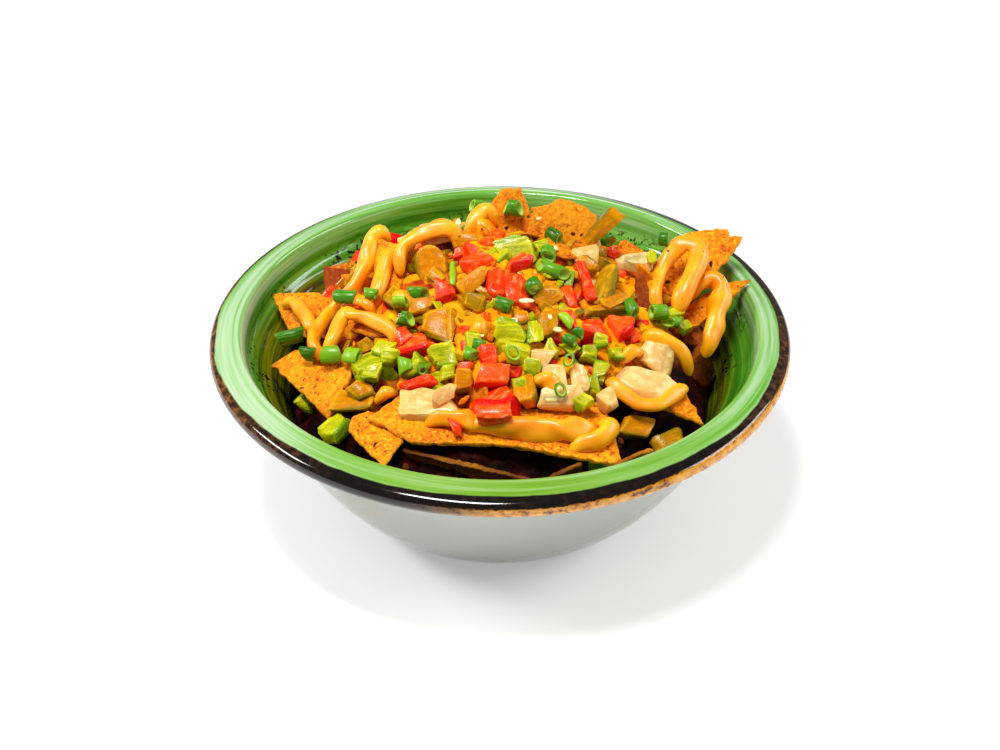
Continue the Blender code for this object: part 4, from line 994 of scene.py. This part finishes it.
ONION_AROUND, ONION_WALL = 18, 8
ONION_SKIN = 0.9         # how thick the leaf is
ONION_ROUND = 0.2        # its cut edge is rounded by this
ONION_WIDTH = 5.4        # of the loose ones
ONION_SQUASH = (0.55, 0.95)            # how flat a tube is pressed, least and most
ONION_SLANT = (0.0, 0.6)               # how far from square it is cut
ONION = (                # one end, the other end, width
    ((-76, -5.5, 1), (-67.5, -3.5, 2.5), 6.0), ((-66.5, -15, 2), (-62.5, -17, 3), 6.0),
    ((-59.5, -19.5, 4.5), (-54.5, -19.5, 5), 6.2), ((-52, -21.5, 6), (-47.5, -24, 7), 5.8),
    ((-56, 1.5, 14.5), (-49.5, -0.5, 15.5), 5.2), ((-46, -1, 17.5), (-42, -2, 17.5), 4.0),
    ((-36, -8, 18.5), (-31.5, -9, 19), 5.4), ((-34, -15.5, 17), (-30, -16.5, 17), 6.2),
    ((-31, -3, 18.5), (-25.5, -5, 19.5), 5.6), ((-16, 5, 24.5), (-16, -3.5, 22.5), 3.0),
    ((2, 30, 33), (7, 29, 33), 6.4), ((13.5, 3.5, 26), (22, 0.5, 24), 5.0),
    ((16.5, 12, 27), (16.5, 7.5, 26.5), 5.6), ((17, 22, 27), (20.5, 18, 27), 6.0),
    ((10.5, -5.5, 24.5), (12, -8.5, 23.8), 6.0), ((-1, -13.5, 21.8), (3.5, -15.5, 21.3), 5.0),
    ((35, 34, 18), (39, 31, 18.5), 5.0), ((43.5, -4, 15.5), (45.5, -9.5, 14.5), 5.4),
    ((21, -17.5, 19.5), (24, -21, 17.5), 3.4), ((51.5, -4.5, 12), (56.5, -3, 11), 6.0),
    ((57, -6, 9), (62, -4.5, 8), 5.4), ((55.3, 24.3, 23.7), (58.3, 23.7, 23.7), 5.0),
    ((-31.5, -30, 10), (-31, -34, 7), 5.4), ((-26, -33.5, 8.5), (-25.5, -35.5, 9), 4.0),
    ((4, -33, 14.5), (4.5, -34.5, 15.4), 6.0), ((22.5, -34.5, 12.6), (22.8, -35.8, 13.6), 5.0),
    ((19.5, -46, 8.5), (20, -47.2, 9.4), 5.2), ((21.5, -26, 16), (25, -28, 15.5), 4.4),
    ((30, -59, -13), (36, -59, -12.5), 5.6), ((-12, -30, 13), (-8.5, -32, 12.5), 5.0),
    ((25, -23, 17.4), (27.5, -25, 16.2), 3.8), ((-9, -28, 14.8), (-5, -29, 14.6), 4.0))


def onion_tube(start, end, width, squash, twist, jitter):
    """A closed wall swept round an ellipse: outside and inside radii at both ends, along its axis."""
    start, end = np.array(start, float), np.array(end, float)
    half = 0.5 * np.linalg.norm(end - start)
    axis = (end - start) / (2.0 * half)
    side = unit(np.cross(axis, (0.31, 0.23, 0.92)))
    other = np.cross(axis, side)
    side, other = side * math.cos(twist) + other * math.sin(twist), \
        other * math.cos(twist) - side * math.sin(twist)
    outer, inner = 0.5 * width, 0.5 * width - ONION_SKIN
    section = np.array([(outer, ONION_ROUND - half), (outer, 0.0), (outer, half - ONION_ROUND),
                        (outer - ONION_ROUND, half), (inner, half), (inner, 0.0), (inner, -half),
                        (outer - ONION_ROUND, -half)])
    turns = np.arange(ONION_AROUND) * 2.0 * math.pi / ONION_AROUND
    ring = side * np.cos(turns)[:, None] + other * (squash * np.sin(turns))[:, None]
    slant = 1.0 + jitter[0] * np.cos(turns + 6.0 * jitter[1])[:, None]
    tube = (0.5 * (start + end) + ring[:, None] * section[:, :1]
            + axis * (section[:, 1] * slant)[..., None])
    shares = np.stack([(section[:, 0] - inner) / (outer - inner), section[:, 1],
                       0.0 * section[:, 1]], axis=1)
    marks = np.tile(shares, (ONION_AROUND, 1))
    marks[:, 2] = np.repeat(turns, ONION_WALL)
    return tube.reshape(-1, 3), marks


# Raw leaf: satin, grass green to grey green, with faint lines along it, and paler inside
onion, tree, shader = new_material("spring_onion_leaf", {
    "Subsurface Weight": 0.25, "Subsurface Scale": 0.0015, "Roughness": 0.28, "IOR": 1.38})
cut = add(tree, "Attribute", attribute_name="cut", out="Vector")
tone = add(tree, "Attribute", attribute_name="tone", out="Vector")
skin = add(tree, "ValToRGB", {0: add(tree, "SeparateXYZ", {0: tone})},
           ramp=[(0.0, "#174e02"), (0.35, "#327606"), (0.75, "#5c980a"), (1.0, "#98c010")])
drawn = add(tree, "VectorMath", (cut, (0.0, 0.15, 5.0)), operation="MULTIPLY")
drawn = add(tree, "VectorMath", (drawn, tone), operation="ADD")
lines = add(tree, "TexNoise", {"Vector": drawn, "Scale": 1.6, "Detail": 2.0})
skin = add(tree, "Mix", {0: add(tree, "MapRange", {0: lines, 1: 0.45, 2: 0.75, 4: 0.55}), 6: skin,
                         7: "#92c034"}, **BLEND)
outside = add(tree, "MapRange", {0: add(tree, "SeparateXYZ", {0: cut}), 1: 0.1, 2: 0.9})
colour = add(tree, "Mix", {0: outside, 6: "#a4c836", 7: skin}, **BLEND)
finish(tree, shader, colour, lines, 0.2, 0.0003)


# Where loose pieces come to rest: dropped on the solids from above, clear of those already lying
food_tree, food_owner = tree_of([name for name in nodes if name != "bowl"])
BACK = 13.0              # loose pieces behind this line are larger, because nothing was placed there
FAR_BACK = 33.0          # thin garnish lies only behind this line, and where it was placed
WALL_ROOM = 0.8          # clear of the bowl's wall, against the piece's size
TRIES = 14               # for each piece that is wanted


def drop(count, sizes, seed, back, owners=("heap",), sink=0.35, crowd=0.42, lowest=-60.0, reach=70.0,
         line=BACK):
    """Resting places in front of or behind the line: points, normals and sizes.  A piece rests on
    solids whose names start with one of `owners`, at least at `lowest` from the rim's level.  It
    sinks into them and crowds its neighbours by shares of its size."""
    draw = np.random.default_rng(seed)
    spots = []
    for _ in range(count * TRIES):
        radius = reach * math.sqrt(draw.uniform())
        angle = draw.uniform(0.0, 2.0 * math.pi)
        size = draw.uniform(*sizes)
        x, y = radius * math.cos(angle), radius * math.sin(angle)
        if len(spots) == count or (y > line) != back:
            continue
        hit, normal, index, _ = food_tree.ray_cast(Vector((x, y, OVERHEAD)), Vector((0.0, 0.0, -1.0)))
        if hit is None or not food_owner[index].startswith(owners) or hit.z < RIM_HEIGHT + lowest:
            continue
        room = np.interp(hit.z, inner_wall[:, 1], inner_wall[:, 0]) - WALL_ROOM * size
        if hit.z > CEILING - size or radius > room:
            continue
        spot = np.array(hit) + np.array(normal) * size * (0.5 - sink)
        near = np.array(taken)
        if (np.linalg.norm(near[:, :3] - spot, axis=1) - crowd * (near[:, 3] + size)).min() < 0.0:
            continue
        taken.append(np.append(spot, size))
        spots.append((spot, np.array(normal), size))
    return spots


def tumbled(spots, seed, tumble=0.5):
    """A direction for each piece: across the slope, tipped by up to `tumble`."""
    draw = np.random.default_rng(seed)
    normals = np.array([normal for _, normal, _ in spots])
    ways = draw.normal(size=normals.shape)
    ways = unit(ways - normals * (ways * normals).sum(axis=1)[:, None])
    return unit(ways + normals * draw.uniform(-tumble, tumble, len(spots))[:, None])


def lying(spots, seed, tumble=0.5):
    """Both ends of a piece as long as its size at each spot, and that size."""
    return [(spot - way * size / 2.0, spot + way * size / 2.0, size)
            for (spot, _, size), way in zip(spots, tumbled(spots, seed, tumble))]


runs = raised(ONION)
spots = drop(20, (3.0, 8.0), 71, True, ("heap", "chip", "sauce"), sink=-0.1, crowd=0.3, reach=62.0,
             line=FAR_BACK)
runs += [(start, end, ONION_WIDTH) for start, end, _ in lying(spots, 72)]
draw = np.random.default_rng(73)
tubes, cuts, tones = [], [], []
for start, end, width in runs:
    tube, marks = onion_tube(start, end, width, draw.uniform(*ONION_SQUASH),
                             draw.uniform(0.0, 6.28), draw.uniform(*ONION_SLANT, 2))
    tubes.append(tube)
    cuts.append(marks)
    tones.append(np.tile(draw.uniform(0.0, 1.0, 3), (len(tube), 1)))
index = np.arange(ONION_AROUND * ONION_WALL).reshape(ONION_AROUND, ONION_WALL)
after = np.roll(index, -1, axis=0)
template = np.stack([index, after, np.roll(after, -1, axis=1), np.roll(index, -1, axis=1)],
                    axis=-1).reshape(-1, 4)
faces = np.vstack([template + number * index.size for number in range(len(tubes))])
lay_mesh("spring_onion", np.vstack(tubes), [tuple(face) for face in faces.tolist()], onion,
         [("cut", np.vstack(cuts)), ("tone", np.vstack(tones))])


# ---------------------------------------------------------------- loose dice over the mound
# Smaller dice of the same vegetables.  In front they only fill the gaps between the placed pieces.
# Over the back, where nothing is placed, they cover the mound as thickly as the front is covered.

LOOSE = (                # name, kind, finish, front count and sizes, back count and sizes
    ("tomato_dice", "tomato", tomato_flesh, 26, (3.0, 5.0), 44, (5.0, 9.0)),
    ("gherkin_dice", "pickle", gherkin, 60, (3.0, 5.5), 64, (5.0, 9.5)),
    ("pepper_dice", "pepper", pepper_flesh, 64, (3.0, 5.5), 60, (4.0, 8.5)),
    ("chicken_dice", "chicken", chicken_meat, 14, (3.0, 5.0), 22, (5.0, 10.0)))


def loose(spots, seed, flat=(0.45, 0.9)):
    """Table rows for pieces that lie at those spots, flatter than they are wide by `flat`."""
    draw = np.random.default_rng(seed)
    rows = []
    for (spot, _, size), way in zip(spots, tumbled(spots, seed + 1)):
        half = 0.5 * size * draw.uniform(0.8, 1.5)
        rows.append((spot - way * half, spot + way * half, size * draw.uniform(0.7, 1.1),
                     size * draw.uniform(*flat), draw.uniform(-70.0, 70.0)))
    return rows


for number, (name, kind, material, front, front_sizes, back, back_sizes) in enumerate(LOOSE):
    seed = 200 + 30 * number
    spots = drop(back, back_sizes, seed, True, owners=("heap", "chip_behind"))
    spots += drop(front, front_sizes, seed + 5, False, lowest=3.0)
    points, marks = blocks(loose(spots, seed + 10), seed + 15, SMALL_ROWS, SMALL_COLUMNS, power=7.0)
    lay_blocks(name, points, marks, SMALL_ROWS, SMALL_COLUMNS, material, smooth=False)


# ---------------------------------------------------------------- broken chips and crumbs
# Shards of chip, 5 to 18 mm across, stand between the toppings, the larger ones behind, and crumbs
# of 1 to 4 mm lie everywhere.

SHARD_ROWS, SHARD_COLUMNS = 6, 14
SHARD_THICK = 1.8
SHARD_FRIED = (5.0, 0.3, 1.0)          # depth from the edge, how dark, how far soaked and painted in shade low down
CRUMB_FRIED = (1.0, 0.3, 1.0)

spots = drop(46, (8.0, 18.0), 61, True, reach=74.0, sink=0.25, crowd=0.25)
spots += drop(12, (5.0, 9.0), 62, False, sink=0.30, crowd=0.35, lowest=0.0)
draw = np.random.default_rng(63)
shards = [(start, end, size * draw.uniform(0.6, 1.0), SHARD_THICK, draw.uniform(-60.0, 60.0))
          for start, end, size in lying(spots, 64, tumble=0.7)]
points, _ = blocks(shards, 65, SHARD_ROWS, SHARD_COLUMNS, power=4.0)
marks = [("fried", np.tile(SHARD_FRIED, (points[..., 0].size, 1)))]
lay_blocks("chip_shards", points, marks, SHARD_ROWS, SHARD_COLUMNS, corn)
spots = drop(150, (1.5, 3.6), 66, True, sink=0.2, crowd=0.3)
spots += drop(70, (1.2, 2.6), 67, False, sink=0.2, crowd=0.3)
points, _ = blocks(loose(spots, 68, flat=(0.3, 0.7)), 69, SMALL_ROWS, SMALL_COLUMNS, power=3.5)
marks = [("fried", np.tile(CRUMB_FRIED, (points[..., 0].size, 1)))]
lay_blocks("chip_crumbs", points, marks, SMALL_ROWS, SMALL_COLUMNS, corn, smooth=False)


# ---------------------------------------------------------------- seeds
# Flat cream seeds, 3 to 5 mm long, that came loose from the cut vegetables and stuck where they
# fell: eight have set places, and up to sixteen more lie over the far back.

SEED_ROWS, SEED_COLUMNS = 5, 10
SEED_WIDTH, SEED_THICK = 2.4, 1.2
SEEDS = (                # one end, the other end
    ((6.5, -13.5, 22.5), (11.5, -13, 22)), ((16.2, -17, 20.5), (17, -20, 19)),
    ((15, 34, 28.5), (17, 31, 28.5)), ((12.5, 33, 28), (14, 30, 28)),
    ((17.5, 12, 28), (20, 11, 27.5)), ((18, -23, 17.5), (21, -24, 17)),
    ((-8, -24, 16), (-5, -25, 16)), ((3, -21, 19.5), (6, -21, 19.5)))
rows = [(start, end, SEED_WIDTH, SEED_THICK, 0.0) for start, end in raised(SEEDS)]
spots = drop(16, (3.0, 4.2), 81, True, ("heap", "chip", "sauce"), sink=-0.1, crowd=0.2, reach=58.0,
             line=FAR_BACK)
rows += [(start, end, 0.7 * size, 1.1, 0.0) for start, end, size in lying(spots, 82, tumble=0.25)]
points, marks = blocks(rows, 83, SEED_ROWS, SEED_COLUMNS, power=2.3)

# Dry seed coat: smooth, satin cream, with no pattern large enough to see but a change of tone
seed_coat, tree, shader = new_material("seed_coat", {
    "Subsurface Weight": 0.2, "Subsurface Scale": 0.002, "Roughness": 0.35})
tone = add(tree, "SeparateXYZ", {0: add(tree, "Attribute", attribute_name="tone", out="Vector")})
cloud = add(tree, "TexNoise", {"Vector": add(tree, "TexCoord", out="Object"), "Scale": 700.0})
shade = add(tree, "Math", (tone, cloud), operation="MULTIPLY")
tree.links.new(add(tree, "ValToRGB", {0: shade}, ramp=[(0.0, "#f2d382"), (0.6, "#fdf0c6")]),
               shader["Base Color"])
lay_blocks("seeds", points, marks, SEED_ROWS, SEED_COLUMNS, seed_coat)


# ---------------------------------------------------------------- the floor and the light
# A plain white table and soft studio light: one box overhead, which draws the highlights on glaze
# and sauce, and a weaker one from each side.  The sky and the table's own glow fill the shadows.

LIGHT_AIM = 0.06         # height of the point that the lights face, in metres
TABLE_REACH = 4.0        # from the middle of the table to its sides, in metres

floor_mesh = bpy.data.meshes.new("floor")
floor_mesh.from_pydata([(x * TABLE_REACH, y * TABLE_REACH, 0.0) for x, y in
                        ((-1, -1), (1, -1), (1, 1), (-1, 1))], [], [(0, 1, 2, 3)])
table_top, _, _ = new_material("white_table", {
    "Base Color": "#f8f8f7", "Roughness": 0.8, "Emission Color": "#ffffff",
    "Emission Strength": 0.32})
floor_mesh.materials.append(table_top)
floor = bpy.data.objects.new("floor", floor_mesh)
bpy.context.scene.collection.objects.link(floor)


def soft_box(name, place, size, power):
    """A soft light that faces the mound: place and size in metres, power in watts."""
    light = bpy.data.lights.new(name, "AREA")
    light.shape = "RECTANGLE"
    light.size, light.size_y = size
    light.energy = power
    lamp = bpy.data.objects.new(name, light)
    lamp.location = place
    way = Vector((0.0, 0.0, LIGHT_AIM)) - Vector(place)
    lamp.rotation_euler = way.to_track_quat("-Z", "Y").to_euler()
    bpy.context.scene.collection.objects.link(lamp)


soft_box("overhead", (-0.18, -0.22, 1.15), (0.45, 0.18), 13.0)
soft_box("left", (-1.05, 0.08, 0.80), (0.5, 0.2), 9.0)
soft_box("right", (1.1, 0.12, 0.66), (0.95, 0.32), 8.0)
world = bpy.data.worlds.new("studio")
world.use_nodes = True
sky = world.node_tree.nodes["Background"].inputs
sky["Color"].default_value = linear("#ffffff")
sky["Strength"].default_value = 0.19
bpy.context.scene.world = world
bpy.context.scene.view_settings.view_transform = "Standard"
